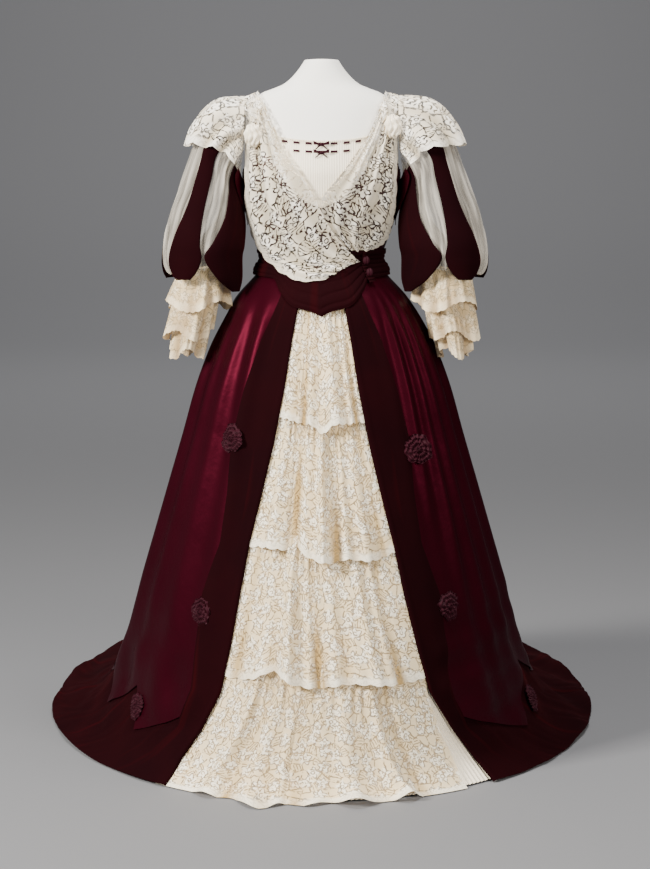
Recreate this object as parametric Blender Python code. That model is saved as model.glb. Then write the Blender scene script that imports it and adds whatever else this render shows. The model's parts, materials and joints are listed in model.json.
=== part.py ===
"""Evening dress with a train, on a limbless dress form and stand.

Metres, +Z up. The front faces -Y and the wearer's left is +X. The origin is on the floor, at the stand's pole.
Every piece of cloth is a closed wall: a grid of outer points, the same points moved in, and rims that join them.
"""
import math

import bpy
import numpy as np
from mathutils import Vector
from mathutils.bvhtree import BVHTree

# Driving dimensions
SEAM = 0.0003          # gap between two pieces at a seam
SATIN = 0.0015         # wall of the satin and the velvet
LACE = 0.0012          # wall of the lace and the sheer cloth
CLEAR = 0.0031         # the form stands this far inside the bodice
TOUCH = 0.0006         # a small piece stands this far off what it lies on
WAIST = 1.029          # height of the waist seam
HEM = 0.004            # height of the hem's upper face
FLOOR = 0.0008         # no cloth reaches below this
FORM_FOOT = 0.82       # lower end of the dress form
POLE_RADIUS = 0.0125
BASE_RADIUS = 0.16
BASE_HEIGHT = 0.012
TORSO_COLUMNS = np.radians(np.concatenate([np.arange(-60, 60, 10), np.arange(60, 300, 12)]))
SIDE_SEAM = np.radians(95)
SIDE_COLUMNS = 16      # grid columns of a satin side panel
TRAIN_COLUMNS = 32     # grid columns of the satin train breadth
UPPER_ROWS = np.array([0, .09, .18, .27, .37, .47, .57, .68, .79, .9, 1])
LOWER_ROWS = np.array([0, .4, .75, 1])


def table(columns, *rows):
    """A table with named columns, a row for each section."""
    return dict(zip(columns.split(), np.array(rows, float).T))


# The body of the garment from the neck to the floor. Each section is half an ellipse in front of
# the line y = middle and half an ellipse behind it.
BODY = table("z half_width front middle back",
             (1.432, .037, .030, .012, .052),
             (1.410, .052, .040, .010, .062),
             (1.385, .078, .050, .006, .070),
             (1.365, .126, .062, .002, .078),
             (1.340, .150, .076, .000, .086),
             (1.300, .157, .094, .000, .094),
             (1.250, .159, .112, .000, .098),
             (1.200, .159, .124, .000, .098),
             (1.150, .155, .120, .000, .096),
             (1.110, .147, .110, .000, .094),
             (1.070, .133, .098, .000, .090),
             (1.030, .120, .090, .000, .088),
             (1.005, .130, .100, .000, .102),
             (.950, .177, .135, .000, .165),
             (.880, .210, .157, .010, .220),
             (.780, .249, .182, .020, .300),
             (.680, .278, .202, .040, .380),
             (.580, .308, .222, .060, .460),
             (.480, .338, .242, .090, .550),
             (.380, .368, .262, .120, .640),
             (.280, .396, .280, .160, .740),
             (.190, .425, .295, .210, .840),
             (.110, .462, .305, .280, .950),
             (.050, .515, .318, .360, 1.080),
             (.020, .570, .333, .430, 1.220),
             (HEM, .610, .350, .500, 1.450))

# Half-widths in X of the overskirt's front opening, of its velvet border and of the lowest lace.
EDGES = table("z open_left open_right border lace_right",
              (1.030, .024, .024, .052, .046),
              (1.005, .030, .030, .062, .052),
              (.950, .045, .045, .085, .067),
              (.880, .058, .058, .115, .080),
              (.780, .074, .074, .147, .096),
              (.680, .094, .094, .172, .116),
              (.580, .118, .118, .180, .140),
              (.480, .143, .143, .195, .165),
              (.380, .162, .165, .232, .187),
              (.280, .180, .190, .246, .208),
              (.190, .200, .215, .255, .212),
              (.110, .240, .262, .290, .238),
              (.050, .280, .305, .345, .266),
              (.020, .298, .330, .390, .280),
              (HEM, .310, .345, .425, .290))

# Where the satin's pointed lower edge lies, by grid column from the front border to the side seam.
POINTS_LEFT = table("column z", (0, .13), (3, .075), (6, .16), (9, .085), (12, .17), (16, .095))
POINTS_RIGHT = table("column z", (0, .13), (5, .065), (10, .19), (16, .095))
POINTS_TRAIN = table("column z", (0, .095), (4, .158), (8, .036), (12, .081), (16, .019))

# Folds of the overskirt: where they lie round the waist, their half-width, their depth, and the
# heights between which they run.
FOLDS = table("angle width depth top bottom",
              (42, 2.8, .012, .99, .45),
              (50, 2.9, .014, .99, .30),
              (58, 3.2, .012, .99, .10),
              (68, 4.0, .010, .98, .05),
              (82, 5.0, .012, .97, .02),
              (-36, 4.0, .005, .97, .10),
              (-50, 4.5, .008, .97, .02),
              (-64, 4.0, .007, .98, .05),
              (-78, 5.0, .010, .97, .02))
PLEAT_ANGLE = 17.0     # one back pleat takes this angle
PLEAT_DEPTH = .016

# Lace tiers of the underskirt, each under the hem of the one above.
TIERS = table("top bottom folds depth inset",
              (.985, .715, 7, .006, .0075),
              (.745, .470, 7, .008, .0070),
              (.505, .222, 8, .009, .0070),
              (.262, .004, 8, .009, .0070))
LOW_LEVELS = (.170, .110, .050, .020)
SCALLOP = .010         # depth of the scallops on the lace's lower edges

# Sleeve rings, from the armhole to the elbow: the outer and the inner end of each ring, its half
# depth and its middle in Y.
SLEEVE = table("outer_x outer_z inner_x inner_z depth y",
               (.1506, 1.338, .1645, 1.205, .056, .004),
               (.200, 1.330, .170, 1.185, .062, .002),
               (.240, 1.290, .170, 1.160, .066, -.002),
               (.258, 1.240, .167, 1.135, .067, -.006),
               (.277, 1.180, .164, 1.110, .069, -.012),
               (.298, 1.130, .163, 1.085, .073, -.018),
               (.312, 1.080, .162, 1.060, .077, -.024),
               (.316, 1.035, .166, 1.040, .076, -.028),
               (.304, 1.004, .180, 1.024, .064, -.030),
               (.2865, 1.010, .1905, 1.022, .050, -.030))

# Velvet strips of the oversleeve: the two edges, as angles round the sleeve, at the shoulder, the
# middle, the tie, the lobe and the tip, and how far the tip hangs below the tie.
STRIPS = table("from_0 to_0 from_1 to_1 from_2 to_2 from_3 to_3 from_4 to_4 drop columns",
               (10, 38, 8, 36, -3, 50, 4, 44, 14, 34, .042, 3),
               (-80, -30, -88, -26, -98, -7, -88, -26, -70, -52, .068, 4),
               (112, 142, 112, 142, 98, 150, 104, 144, 116, 134, .042, 3),
               (190, 226, 190, 226, 155, 254, 168, 240, 192, 212, .055, 4))
SLEEVE_RINGS = np.array([0, 1, 2, 3, 4.5, 6, 7, 8, 9])
STRIP_RINGS = np.array([1, 2, 3, 4.5, 6, 7])

# Cuff flounces, from the top one: the lower edge's height, middle, radii and depth of its waves.
FLOUNCES = table("bottom centre_x radius_x radius_y wave",
                 (.942, .2500, .060, .066, .007),
                 (.883, .2690, .043, .056, .005),
                 (.846, .2710, .030, .043, .003))

# Crossed lace fronts, a row across each from its inner to its outer edge: X and Z of both edges and
# the height above the bodice.
FRONT_LEFT = table("inner_x inner_z outer_x outer_z lift",
                   (-.1255, 1.365, -.1480, 1.344, .0032),
                   (-.1030, 1.325, -.1400, 1.310, .0040),
                   (-.0820, 1.280, -.1420, 1.275, .0050),
                   (-.0640, 1.238, -.1450, 1.225, .0060),
                   (-.0420, 1.208, -.1450, 1.150, .0068),
                   (-.0200, 1.172, -.1340, 1.092, .0082),
                   (-.0060, 1.145, -.1130, 1.050, .0092),
                   (.0200, 1.095, -.0760, 1.006, .0092),
                   (.0480, 1.058, -.0340, .988, .0086),
                   (.0710, 1.030, .0080, .992, .0080))
FRONT_RIGHT = table("inner_x inner_z outer_x outer_z lift",
                    (.1260, 1.365, .1480, 1.344, .0032),
                    (.1100, 1.325, .1420, 1.310, .0040),
                    (.0900, 1.280, .1440, 1.268, .0042),
                    (.0680, 1.245, .1460, 1.225, .0038),
                    (.0460, 1.213, .1460, 1.170, .0026),
                    (.0300, 1.182, .1380, 1.112, .0022),
                    (.0160, 1.155, .1200, 1.078, .0022),
                    (.0120, 1.120, .0960, 1.060, .0022))
LACE_FOLDS = 3         # long folds in each lace front
LACE_FOLD_DEPTH = .0028

# Rosettes on the velvet: X and the height of the middle.
ROSETTES = table("x z", (-.172, .685), (.184, .664), (-.236, .345), (.252, .352), (-.375, .120), (.432, .105))
ROSETTE_RADIUS = .030


def smooth(at, stops, values):
    """A monotone cubic through the values, with no overshoot between two rows."""
    at = np.clip(at, stops[0], stops[-1])
    step = np.diff(stops)
    slope = np.diff(values) / step
    before, after = slope[:-1], slope[1:]
    total = np.where(before + after == 0, 1, before + after)
    turn = np.concatenate([slope[:1], np.where(before * after > 0, 2 * before * after / total, 0), slope[-1:]])
    k = np.clip(np.searchsorted(stops, at, side="right") - 1, 0, len(step) - 1)
    u = (at - stops[k]) / step[k]
    start = values[k] * (1 + 2 * u) * (1 - u) ** 2 + turn[k] * step[k] * u * (1 - u) ** 2
    end = values[k + 1] * (3 - 2 * u) * u ** 2 - turn[k + 1] * step[k] * (1 - u) * u ** 2
    return start + end


def blend(low, high, share):
    """Straight mix of two values."""
    return low + (high - low) * share


def ramp(x, low, high):
    """0 before low, 1 after high, smooth between."""
    share = np.clip((x - low) / (high - low), 0, 1)
    return share * share * (3 - 2 * share)


ROW_NUMBERS = np.arange(len(BODY["z"]), dtype=float)
FINE_ROWS = np.linspace(0, ROW_NUMBERS[-1], 4001)
FINE_HEIGHTS = smooth(FINE_ROWS, ROW_NUMBERS, BODY["z"])
HEM_ROW = ROW_NUMBERS[-1]


def height(row):
    """Height of the body's surface at a row number, which may lie between two sections."""
    return smooth(row, ROW_NUMBERS, BODY["z"])


def level(z):
    """Row number at a height."""
    return np.interp(-np.asarray(z, float), -FINE_HEIGHTS, FINE_ROWS)


def edge(name, row):
    """Half-width in X of one of the edges down the front."""
    return np.interp(-height(row), -EDGES["z"], EDGES[name])


def angle_at(x, row):
    """Angle from the front at which the body's section reaches an X."""
    return np.arcsin(np.clip(x / smooth(row, ROW_NUMBERS, BODY["half_width"]), -1, 1))


def body(angle, row, lift=0.0, rise=0.0):
    """The body's surface, moved out level by lift and up by rise."""
    width = smooth(row, ROW_NUMBERS, BODY["half_width"])
    front = smooth(row, ROW_NUMBERS, BODY["front"])
    middle = smooth(row, ROW_NUMBERS, BODY["middle"])
    back = smooth(row, ROW_NUMBERS, BODY["back"])
    reach = np.where(np.cos(angle) > 0, middle + front, back - middle)
    out_x = np.sin(angle) / width
    out_y = -np.cos(angle) / reach
    size = np.hypot(out_x, out_y)
    x = width * np.sin(angle) + out_x / size * lift
    y = middle - reach * np.cos(angle) + out_y / size * lift
    return np.stack(np.broadcast_arrays(x, y, height(row) + rise), axis=-1)


def turned(angle):
    """The same angle between -180 and 180 degrees."""
    return (angle + np.pi) % (2 * np.pi) - np.pi


def skirt(angle, row):
    """The overskirt: the body with its folds, its back pleats and the ripples of the train."""
    z = height(row)
    lift = np.zeros(np.broadcast(angle, row).shape)
    for where, width, depth, top, bottom in zip(*FOLDS.values()):
        near = turned(angle - np.radians(where)) / np.radians(width)
        run = ramp(-z, -top, -top + .12) * (1 - .8 * ramp(-z, -bottom - .25, -bottom))
        lift = lift + depth * np.exp(-near ** 2) * run
    behind = ramp(np.abs(turned(angle)), np.radians(100), np.radians(125))
    pleats = .5 + .5 * np.cos(turned(angle) * 360 / PLEAT_ANGLE)
    drop = ramp(-z, -1.0, -.82) * (1 - .6 * ramp(-z, -.2, -.02))
    lift = lift + behind * drop * pleats * PLEAT_DEPTH
    lying = ramp(-z, -.11, -.02) * ramp(np.abs(turned(angle)), np.radians(50), np.radians(80))
    rise = lying * .009 * (.5 + .5 * np.cos(turned(angle) * 17 + 2.5 * row))
    return body(angle, row, lift, rise)


def sleeve(side):
    """The sleeve of one side: a tube that turns from the armhole to the elbow. The angle is 0 in
    front and 90 degrees on the outer side."""
    wider = 1.05 if side > 0 else 1.0
    rings = np.arange(len(SLEEVE["y"]), dtype=float)

    def surface(angle, ring):
        outer_x, outer_z, inner_x, inner_z, depth, y = (smooth(ring, rings, SLEEVE[name]) for name in SLEEVE)
        across = outer_x * blend(1, wider, ramp(ring, 0, 2)) - inner_x
        x = inner_x + across * (.5 + .5 * np.sin(angle))
        z = inner_z + (outer_z - inner_z) * (.5 + .5 * np.sin(angle))
        return np.stack(np.broadcast_arrays(side * x, y - depth * np.cos(angle), z), axis=-1)
    return surface


def lifted(surface, a, b, out, flip=1.0):
    """Points of a surface moved out along its normal. The normal comes from short steps."""
    step_a = surface(a + 1e-3, b) - surface(a - 1e-3, b)
    step_b = surface(a, b + 1e-2) - surface(a, b - 1e-2)
    normal = flip * np.cross(step_b, step_a)
    normal = normal / np.linalg.norm(normal, axis=-1, keepdims=True)
    points = surface(a, b) + normal * np.asarray(out)[..., None]
    return points


def trimmed(points, sides):
    """Borders drawn back by half a seam, so that two pieces on one line stay apart."""
    points = points.copy()
    ends = {"left": (0, 1), "right": (-1, -2)}
    for side, (last, before) in ends.items():
        if side in sides:
            step = points[before] - points[last]
            points[last] += step / np.linalg.norm(step, axis=-1, keepdims=True) * SEAM / 2
    ends = {"top": (0, 1), "bottom": (-1, -2)}
    for side, (last, before) in ends.items():
        if side in sides:
            step = points[:, before] - points[:, last]
            points[:, last] += step / np.linalg.norm(step, axis=-1, keepdims=True) * SEAM / 2
    return points


def finish(name, points, faces, colour, roughness, sheen=0.0):
    """A mesh object turned right side out, with its material. A coordinate on an odd 4096th of a metre
    has no certain decimal rounding, which can part the faces that share it, so it moves by a micrometre."""
    points = np.asarray(points, np.float32).astype(float)
    points += np.where(points * 4096 % 2 == 1, 1e-6, 0)
    volume = 0.0
    for face in faces:
        for second, third in zip(face[1:-1], face[2:]):
            volume += np.dot(points[face[0]], np.cross(points[second], points[third]))
    if volume < 0:
        faces = [face[::-1] for face in faces]
    mesh = bpy.data.meshes.new(name)
    mesh.from_pydata(points.tolist(), [], faces)
    mesh.shade_smooth()
    mesh.set_sharp_from_angle(angle=math.radians(50))
    material = bpy.data.materials.get(colour) or bpy.data.materials.new(colour)
    material.use_nodes = True
    shader = material.node_tree.nodes["Principled BSDF"]
    shader.inputs["Base Color"].default_value = (*COLOURS[colour], 1)
    shader.inputs["Roughness"].default_value = roughness
    shader.inputs["Sheen Weight"].default_value = sheen
    mesh.materials.append(material)
    piece = bpy.data.objects.new(name, mesh)
    bpy.context.scene.collection.objects.link(piece)
    return piece


# Linear colours of the cloths
COLOURS = {
    "satin": (.075, .006, .018),
    "velvet": (.022, .001, .003),
    "lace": (.80, .74, .60),
    "sheer": (.70, .68, .64),
    "form": (.88, .84, .76),
    "ribbon": (.12, .005, .014),
    "stand": (.30, .29, .28),
}
ROUGHNESS = {"satin": .35, "velvet": .9, "lace": .8, "sheer": .6, "form": .8, "ribbon": .4, "stand": .3}


def rim(points, a, b, count):
    """Two triangles between an outer edge and its inner copy. The higher end starts the diagonal, so
    two pieces that meet along one line are cut the same way."""
    if points[a][2] > points[b][2]:
        return [[a, b, count + b], [a, count + b, count + a]]
    return [[a, b, count + a], [b, count + b, count + a]]


def both_faces(points, ring, count):
    """Two triangles over a cell's outer face and the same two on its inner face, cut along one diagonal,
    so that the two faces of a wall never cross."""
    a, b, c, d = ring
    if np.linalg.norm(points[a] - points[c]) <= np.linalg.norm(points[b] - points[d]):
        cut = [[a, b, c], [a, c, d]]
    else:
        cut = [[a, b, d], [b, c, d]]
    return cut + [[count + k for k in reversed(triangle)] for triangle in cut]


def wall(name, outer, inner, colour, closed=False, gaps=(), gap_size=(.006, .008)):
    """A closed wall between two grids of points. gaps lists the cells cut through, each with a
    four-sided hole of gap_size in the middle of the cell."""
    outer = outer.copy()
    inner = inner.copy()
    outer[..., 2] = np.maximum(outer[..., 2], FLOOR + LACE)
    inner[..., 2] = np.maximum(inner[..., 2], FLOOR)
    across, down = outer.shape[:2]
    count = across * down
    points = [*outer.reshape(-1, 3), *inner.reshape(-1, 3)]
    faces = []

    def at(i, j):
        return (i % across) * down + j

    for i in range(across if closed else across - 1):
        for j in range(down - 1):
            ring = [at(i, j), at(i, j + 1), at(i + 1, j + 1), at(i + 1, j)]
            if (i, j) not in gaps:
                faces += both_faces(points, ring, count)
                continue
            holes = []
            for shift in (0, count):
                a, b, c, d = (points[shift + k] for k in ring)
                half_u = min(.34, gap_size[0] / np.linalg.norm(c + d - a - b))
                half_v = min(.34, gap_size[1] / np.linalg.norm(b + c - a - d))
                hole = []
                for u, v in ((-1, -1), (-1, 1), (1, 1), (1, -1)):
                    low, high = .5 + u * half_u, .5 + v * half_v
                    hole.append(len(points))
                    points.append(blend(blend(a, b, high), blend(d, c, high), low))
                holes.append(hole)
            front, behind = holes
            for k in range(4):
                m = (k + 1) % 4
                faces.append([ring[k], ring[m], front[m], front[k]])
                faces.append([count + ring[m], count + ring[k], behind[k], behind[m]])
                faces.append([front[k], front[m], behind[m], behind[k]])
        for j, way in ((0, 1), (down - 1, -1)):
            a, b = (at(i, j), at(i + 1, j))[::way]
            faces += rim(points, a, b, count)
    if not closed:
        for j in range(down - 1):
            for i, way in ((0, -1), (across - 1, 1)):
                a, b = (at(i, j), at(i, j + 1))[::way]
                faces += rim(points, a, b, count)
    return finish(name, points, faces, colour, ROUGHNESS[colour], 1.0 if colour == "velvet" else 0.0)


def panel(name, surface, a, b, out, thick, colour, seams="", closed=False, gaps=(), flip=1.0):
    """A wall on a surface: its outer face moved out by out, its inner face thick below that."""
    outer = trimmed(lifted(surface, a, b, out, flip), seams)
    inner = trimmed(lifted(surface, a, b, out - thick, flip), seams)
    return wall(name, outer, inner, colour, closed, gaps)


def turned_solid(name, rings, colour):
    """A solid through closed rings of points, with a flat fan at both ends."""
    rings = np.asarray(rings)
    levels, across = rings.shape[:2]
    points = [*rings.reshape(-1, 3), rings[0].mean(axis=0), rings[-1].mean(axis=0)]
    faces = []
    for i in range(across):
        n = (i + 1) % across
        for j in range(levels - 1):
            faces.append([j * across + i, j * across + n, (j + 1) * across + n, (j + 1) * across + i])
        last = (levels - 1) * across
        faces.append([i, len(points) - 2, n])
        faces.append([last + i, last + n, len(points) - 1])
    return finish(name, points, faces, colour, ROUGHNESS[colour])


def dress_form():
    """The limbless form: the body drawn in, its hips below the waist, and its pole and base."""
    heights = np.array([1.432, 1.410, 1.385, 1.365, 1.340, 1.300, 1.250, 1.200, 1.150, 1.110, 1.070, 1.031])
    a, b = np.meshgrid(TORSO_COLUMNS, level(heights), indexing="xy")
    upper = lifted(body, a, b, np.full(a.shape, -SATIN - CLEAR))
    upper[0, :, 2] = heights[0]
    hips = table("z half_width front back", (1.000, .119, .087, .092), (.950, .136, .094, .105),
                 (.890, .147, .100, .115), (FORM_FOOT, .140, .098, .110))
    lower = []
    for z, width, front, back in zip(*hips.values()):
        depth = np.where(np.cos(TORSO_COLUMNS) > 0, front, back)
        x, y = width * np.sin(TORSO_COLUMNS), -depth * np.cos(TORSO_COLUMNS)
        lower.append(np.stack([x, y, np.full(x.shape, z)], axis=-1))
    turned_solid("dress_form", np.concatenate([upper, lower]), "form")
    around = np.radians(np.arange(0, 360, 15))
    for name, radius, bottom, top in (("stand_pole", POLE_RADIUS, BASE_HEIGHT + SEAM, FORM_FOOT - SEAM),
                                      ("stand_base", BASE_RADIUS, 0.0, BASE_HEIGHT)):
        rings = [np.stack([radius * np.cos(around), radius * np.sin(around), np.full(around.shape, z)], axis=-1)
                 for z in (bottom, top)]
        turned_solid(name, rings, "stand")


NECKLINE = table("angle z", (0, 1.140), (15, 1.160), (30, 1.206), (45, 1.264), (60, 1.338), (90, 1.354),
                 (120, 1.345), (140, 1.310), (160, 1.288), (180, 1.282))


def neckline(angle):
    """Height of the bodice's upper edge."""
    return smooth(np.abs(np.degrees(turned(angle))), NECKLINE["angle"], NECKLINE["z"])


def bodice():
    """Satin bodice from the waist to the neckline, with an armhole on each side."""
    columns = TORSO_COLUMNS
    top = neckline(columns)
    shares = np.array([1, .93, .82, .68, .52, .35, .18, 0])
    rows = WAIST + np.outer(shares, top - WAIST)
    across = np.degrees(np.abs(np.abs(turned(columns)) - math.pi / 2))
    half = .062 * np.sqrt(np.clip(1 - (across / 28) ** 2, 0, 1))
    arm = across < 20
    rows[1, arm] = 1.272 + half[arm]
    rows[2, arm] = 1.270
    rows[3, arm] = 1.268 - half[arm]
    rows[4, arm] = blend(WAIST, rows[3, arm], .75)
    holes = set()
    for i in range(len(columns)):
        n = (i + 1) % len(columns)
        if arm[i] and arm[n]:
            holes |= {(i, 1), (i, 2)}
    a, b = np.meshgrid(columns, np.arange(len(shares)), indexing="ij")
    outer = lifted(body, a, level(rows.T), np.zeros(a.shape))
    inner = lifted(body, a, level(rows.T), np.full(a.shape, -SATIN))
    return opened_wall("bodice", trimmed(outer, "bottom top"), trimmed(inner, "bottom top"), "satin", holes)


def opened_wall(name, outer, inner, colour, holes):
    """A closed ring of wall with whole grid cells left out, and rims round them."""
    across, down = outer.shape[:2]
    count = across * down
    points = [*outer.reshape(-1, 3), *inner.reshape(-1, 3)]
    kept = [(i, j) for i in range(across) for j in range(down - 1) if (i, j) not in holes]
    faces = []
    borders = {}
    for i, j in kept:
        n = (i + 1) % across
        ring = [i * down + j, i * down + j + 1, n * down + j + 1, n * down + j]
        faces += both_faces(points, ring, count)
        for k in range(4):
            start, end = ring[k], ring[(k + 1) % 4]
            if (end, start) in borders:
                del borders[(end, start)]
            else:
                borders[(start, end)] = True
    for start, end in borders:
        faces += rim(points, end, start, count)
    return finish(name, points, faces, colour, ROUGHNESS[colour])


def chemisette():
    """Gathered front panel in the neck opening, with two threaded ribbons and their bows."""
    columns = np.radians(np.linspace(-35, 35, 15))
    top = 1.268 + .010 * (columns / columns[-1]) ** 2
    edge_z = np.interp(columns, TORSO_COLUMNS, neckline(TORSO_COLUMNS)) + SEAM
    share = np.array([0, .35, .7, 1])
    z = blend(top[:, None], edge_z[:, None], share[None, :])
    a = np.repeat(columns[:, None], len(share), axis=1)
    gather = .0009 * (np.arange(15) % 2)[:, None] * np.array([.5, 1, 1, 0])
    outer = lifted(body, a, level(z), gather)
    inner = lifted(body, a, level(z), np.full(a.shape, -SATIN))
    wall("chemisette", outer, inner, "lace")
    for name, half_angle, middle in (("upper", 30, 1.262), ("lower", 22, 1.246)):
        columns = np.radians(np.linspace(-half_angle, half_angle, 13))
        z = middle + .008 * (columns / np.radians(35)) ** 2
        z = np.stack([z + .003, z - .003], axis=1)
        a = np.repeat(columns[:, None], 2, axis=1)
        ribbon = panel("ribbon_" + name, body, a, level(z), np.full(a.shape, .0025), LACE, "ribbon")
        bow("bow_" + name, middle - .001, ribbon)


def bow(name, z, ribbon):
    """A flat bow: two loops and two short tails round a knot, standing on its ribbon."""
    outline = table("x z", (0, .0030), (.0045, .0060), (.0100, .0055), (.0105, -.0005), (.0045, -.0010),
                    (.0075, -.0060), (.0035, -.0065), (0, -.0025))
    x = np.concatenate([outline["x"], -outline["x"][-2:0:-1]])
    up = np.concatenate([outline["z"], outline["z"][-2:0:-1]])
    y = rest_on([search_tree(ribbon)], (0, -.3, z), (0, 1, 0))[1] - TOUCH
    front = [(px, y - .0022, z + pz) for px, pz in zip(x, up)]
    behind = [(px, y, z + pz) for px, pz in zip(x, up)]
    points = front + behind + [(0, y - .0030, z), (0, y, z)]
    count = len(x)
    faces = []
    for k in range(count):
        n = (k + 1) % count
        faces.append([k, n, 2 * count])
        faces.append([count + n, count + k, 2 * count + 1])
        faces.append([n, k, count + k, count + n])
    finish(name, points, faces, "ribbon", ROUGHNESS["ribbon"])


def search_tree(piece):
    """The piece's faces, ready for rest_on."""
    mesh = piece.data
    mesh.calc_loop_triangles()
    return BVHTree.FromPolygons([v.co for v in mesh.vertices], [t.vertices for t in mesh.loop_triangles])


def rest_on(trees, start, way):
    """The first point of the pieces that a line from start meets."""
    best = None
    for tree in trees:
        hit = tree.ray_cast(Vector(start), Vector(way).normalized())
        if hit[0] is not None and (best is None or hit[3] < best[3]):
            best = hit
    return np.array(best[0]) if best else None


def lace_front(name, rows, gaps):
    """A crossed lace front: straight lines across it, laid on the bodice, with long folds."""
    stations = np.arange(len(rows["lift"]), dtype=float)
    along = np.concatenate([[0, .1, .35, .7, 1, 1.6, 2.3], np.arange(3, stations[-1] + 1)])
    across = np.linspace(0, 1, 2 * LACE_FOLDS + 2)
    inner_x, inner_z, outer_x, outer_z, lift = (smooth(along, stations, rows[key]) for key in rows)
    x = blend(inner_x[None, :], outer_x[None, :], across[:, None])
    z = blend(inner_z[None, :], outer_z[None, :], across[:, None])
    row = level(z)
    a = angle_at(x, row)
    waves = LACE_FOLD_DEPTH * (np.arange(len(across)) % 2)[:, None] * ramp(along, 0, 2)[None, :]
    out = lift[None, :] + waves
    return panel(name, body, a, row, out, LACE, "lace", gaps=gaps)


def lace_back():
    """The lace collar round the back, from shoulder to shoulder."""
    columns = np.concatenate([[np.radians(91.5)], TORSO_COLUMNS[15:30], [np.radians(268.5)]])
    behind = np.degrees(np.abs(turned(columns)))
    top = smooth(behind, np.array([90., 120, 150, 180]), np.array([1.362, 1.340, 1.302, 1.290]))
    bottom = smooth(behind, np.array([90., 112, 130, 150, 180]), np.array([1.344, 1.325, 1.245, 1.185, 1.165]))
    share = np.linspace(0, 1, 7)
    z = blend(top[:, None], bottom[:, None], share[None, :])
    a = np.repeat(columns[:, None], len(share), axis=1)
    wave = .0022 * (np.arange(len(share)) % 2)[None, :] * ramp(behind, 90, 110)[:, None]
    return panel("lace_back", body, a, level(z), .0021 + wave, LACE, "lace")


def knot(name, x, z, lace):
    """The gathered knot where the shoulder frill is drawn to the front."""
    angle = float(angle_at(x, level(z)))
    away = np.array([math.sin(angle), -math.cos(angle), 0.15])
    away /= np.linalg.norm(away)
    hit = rest_on([search_tree(lace)], np.array(body(angle, level(z))) + away * .1, -away)
    size = np.array([.010, .008, .015])
    middle = hit + away * (np.linalg.norm(size * away) + 2 * TOUCH)
    rings = []
    for tilt in np.radians([-72, -40, 0, 40, 72]):
        around = np.radians(np.arange(0, 360, 45))
        ball = np.stack([np.cos(around) * math.cos(tilt), np.sin(around) * math.cos(tilt),
                         np.full(around.shape, math.sin(tilt))], axis=-1)
        rings.append(middle + ball * size)
    return turned_solid(name, rings, "lace")


def shoulder_frill(name, side):
    """The gathered lace frill over the head of the sleeve, standing up along its seam."""
    surface = sleeve(side)
    columns = np.radians(np.linspace(-18, 198, 13))
    over = np.clip(np.sin(columns), 0, 1)
    ring_end = blend(1.45, 2.65, over)
    share = np.array([.12, .38, .7, 1])
    a = np.repeat(columns[:, None], len(share), axis=1)
    b = ring_end[:, None] * share[None, :]
    wave = (np.arange(13) % 2)[:, None] * np.array([0, .003, .006, .009])
    stand = np.array([.0021, .0040, .0055, .0070])[None, :] + over[:, None] * np.array([.012, .010, .004, .002])
    gaps = {(i, 1) for i in (2, 4, 7, 9)}
    return panel(name, surface, a, b, stand + wave, LACE, "lace", gaps=gaps, flip=side)


def sleeves():
    """Sheer puffs, four velvet strips over each, and three lace flounces at each elbow."""
    for side, name in ((-1, "right"), (1, "left")):
        surface = sleeve(side)
        around = np.radians(np.arange(0, 360, 18))
        a, b = np.meshgrid(around, SLEEVE_RINGS, indexing="ij")
        puff = np.zeros(a.shape)
        for middle, half in ((73, 26), (-12, 8), (165, 16), (240, 9)):
            near = np.degrees(turned(a - np.radians(middle))) / half
            puff = np.maximum(puff, np.clip(1 - near ** 2, 0, 1))
        swell = .005 * puff * ramp(b, .5, 3) * (1 - ramp(b, 4.6, 6))
        panel("sleeve_" + name, surface, a, b, swell, LACE, "sheer", closed=True, flip=side)
        for number, strip in enumerate(zip(*STRIPS.values()), 1):
            velvet_strip(f"sleeve_{name}_strip_{number}", surface, strip, side)
        flounces(name, surface, side)
        shoulder_frill("shoulder_frill_" + name, side)


def velvet_strip(name, surface, strip, side):
    """One strip of the slashed oversleeve. Below its tie it hangs free and ends in a lobe."""
    edges = np.array(strip[:10]).reshape(5, 2)
    drop, columns = strip[10], int(strip[11])
    share = np.linspace(0, 1, columns + 1)[:, None]
    stops = np.array([STRIP_RINGS[0], 4.5, STRIP_RINGS[-1]])
    low, high = (smooth(STRIP_RINGS, stops, edges[:3, k]) for k in (0, 1))
    a = np.radians(blend(low[None, :], high[None, :], share))
    b = np.repeat(STRIP_RINGS[None, :], columns + 1, axis=0)
    out = np.array([.0026, .0044, .0048, .0050, .0052, .0052])[None, :] + np.zeros(a.shape)
    outer = lifted(surface, a, b, out, side)
    inner = lifted(surface, a, b, out - SATIN, side)
    for k, fall in ((3, .62), (4, 1.0)):
        a_lobe = np.radians(blend(edges[k, 0], edges[k, 1], share))
        b_lobe = np.full(a_lobe.shape, STRIP_RINGS[-1])
        down = np.array([0, 0, -drop * fall])
        outer = np.concatenate([outer, lifted(surface, a_lobe, b_lobe, .0055 + 0 * a_lobe, side) + down], axis=1)
        inner = np.concatenate([inner, lifted(surface, a_lobe, b_lobe, .0040 + 0 * a_lobe, side) + down], axis=1)
    return wall(name, outer, inner, "velvet")


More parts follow.
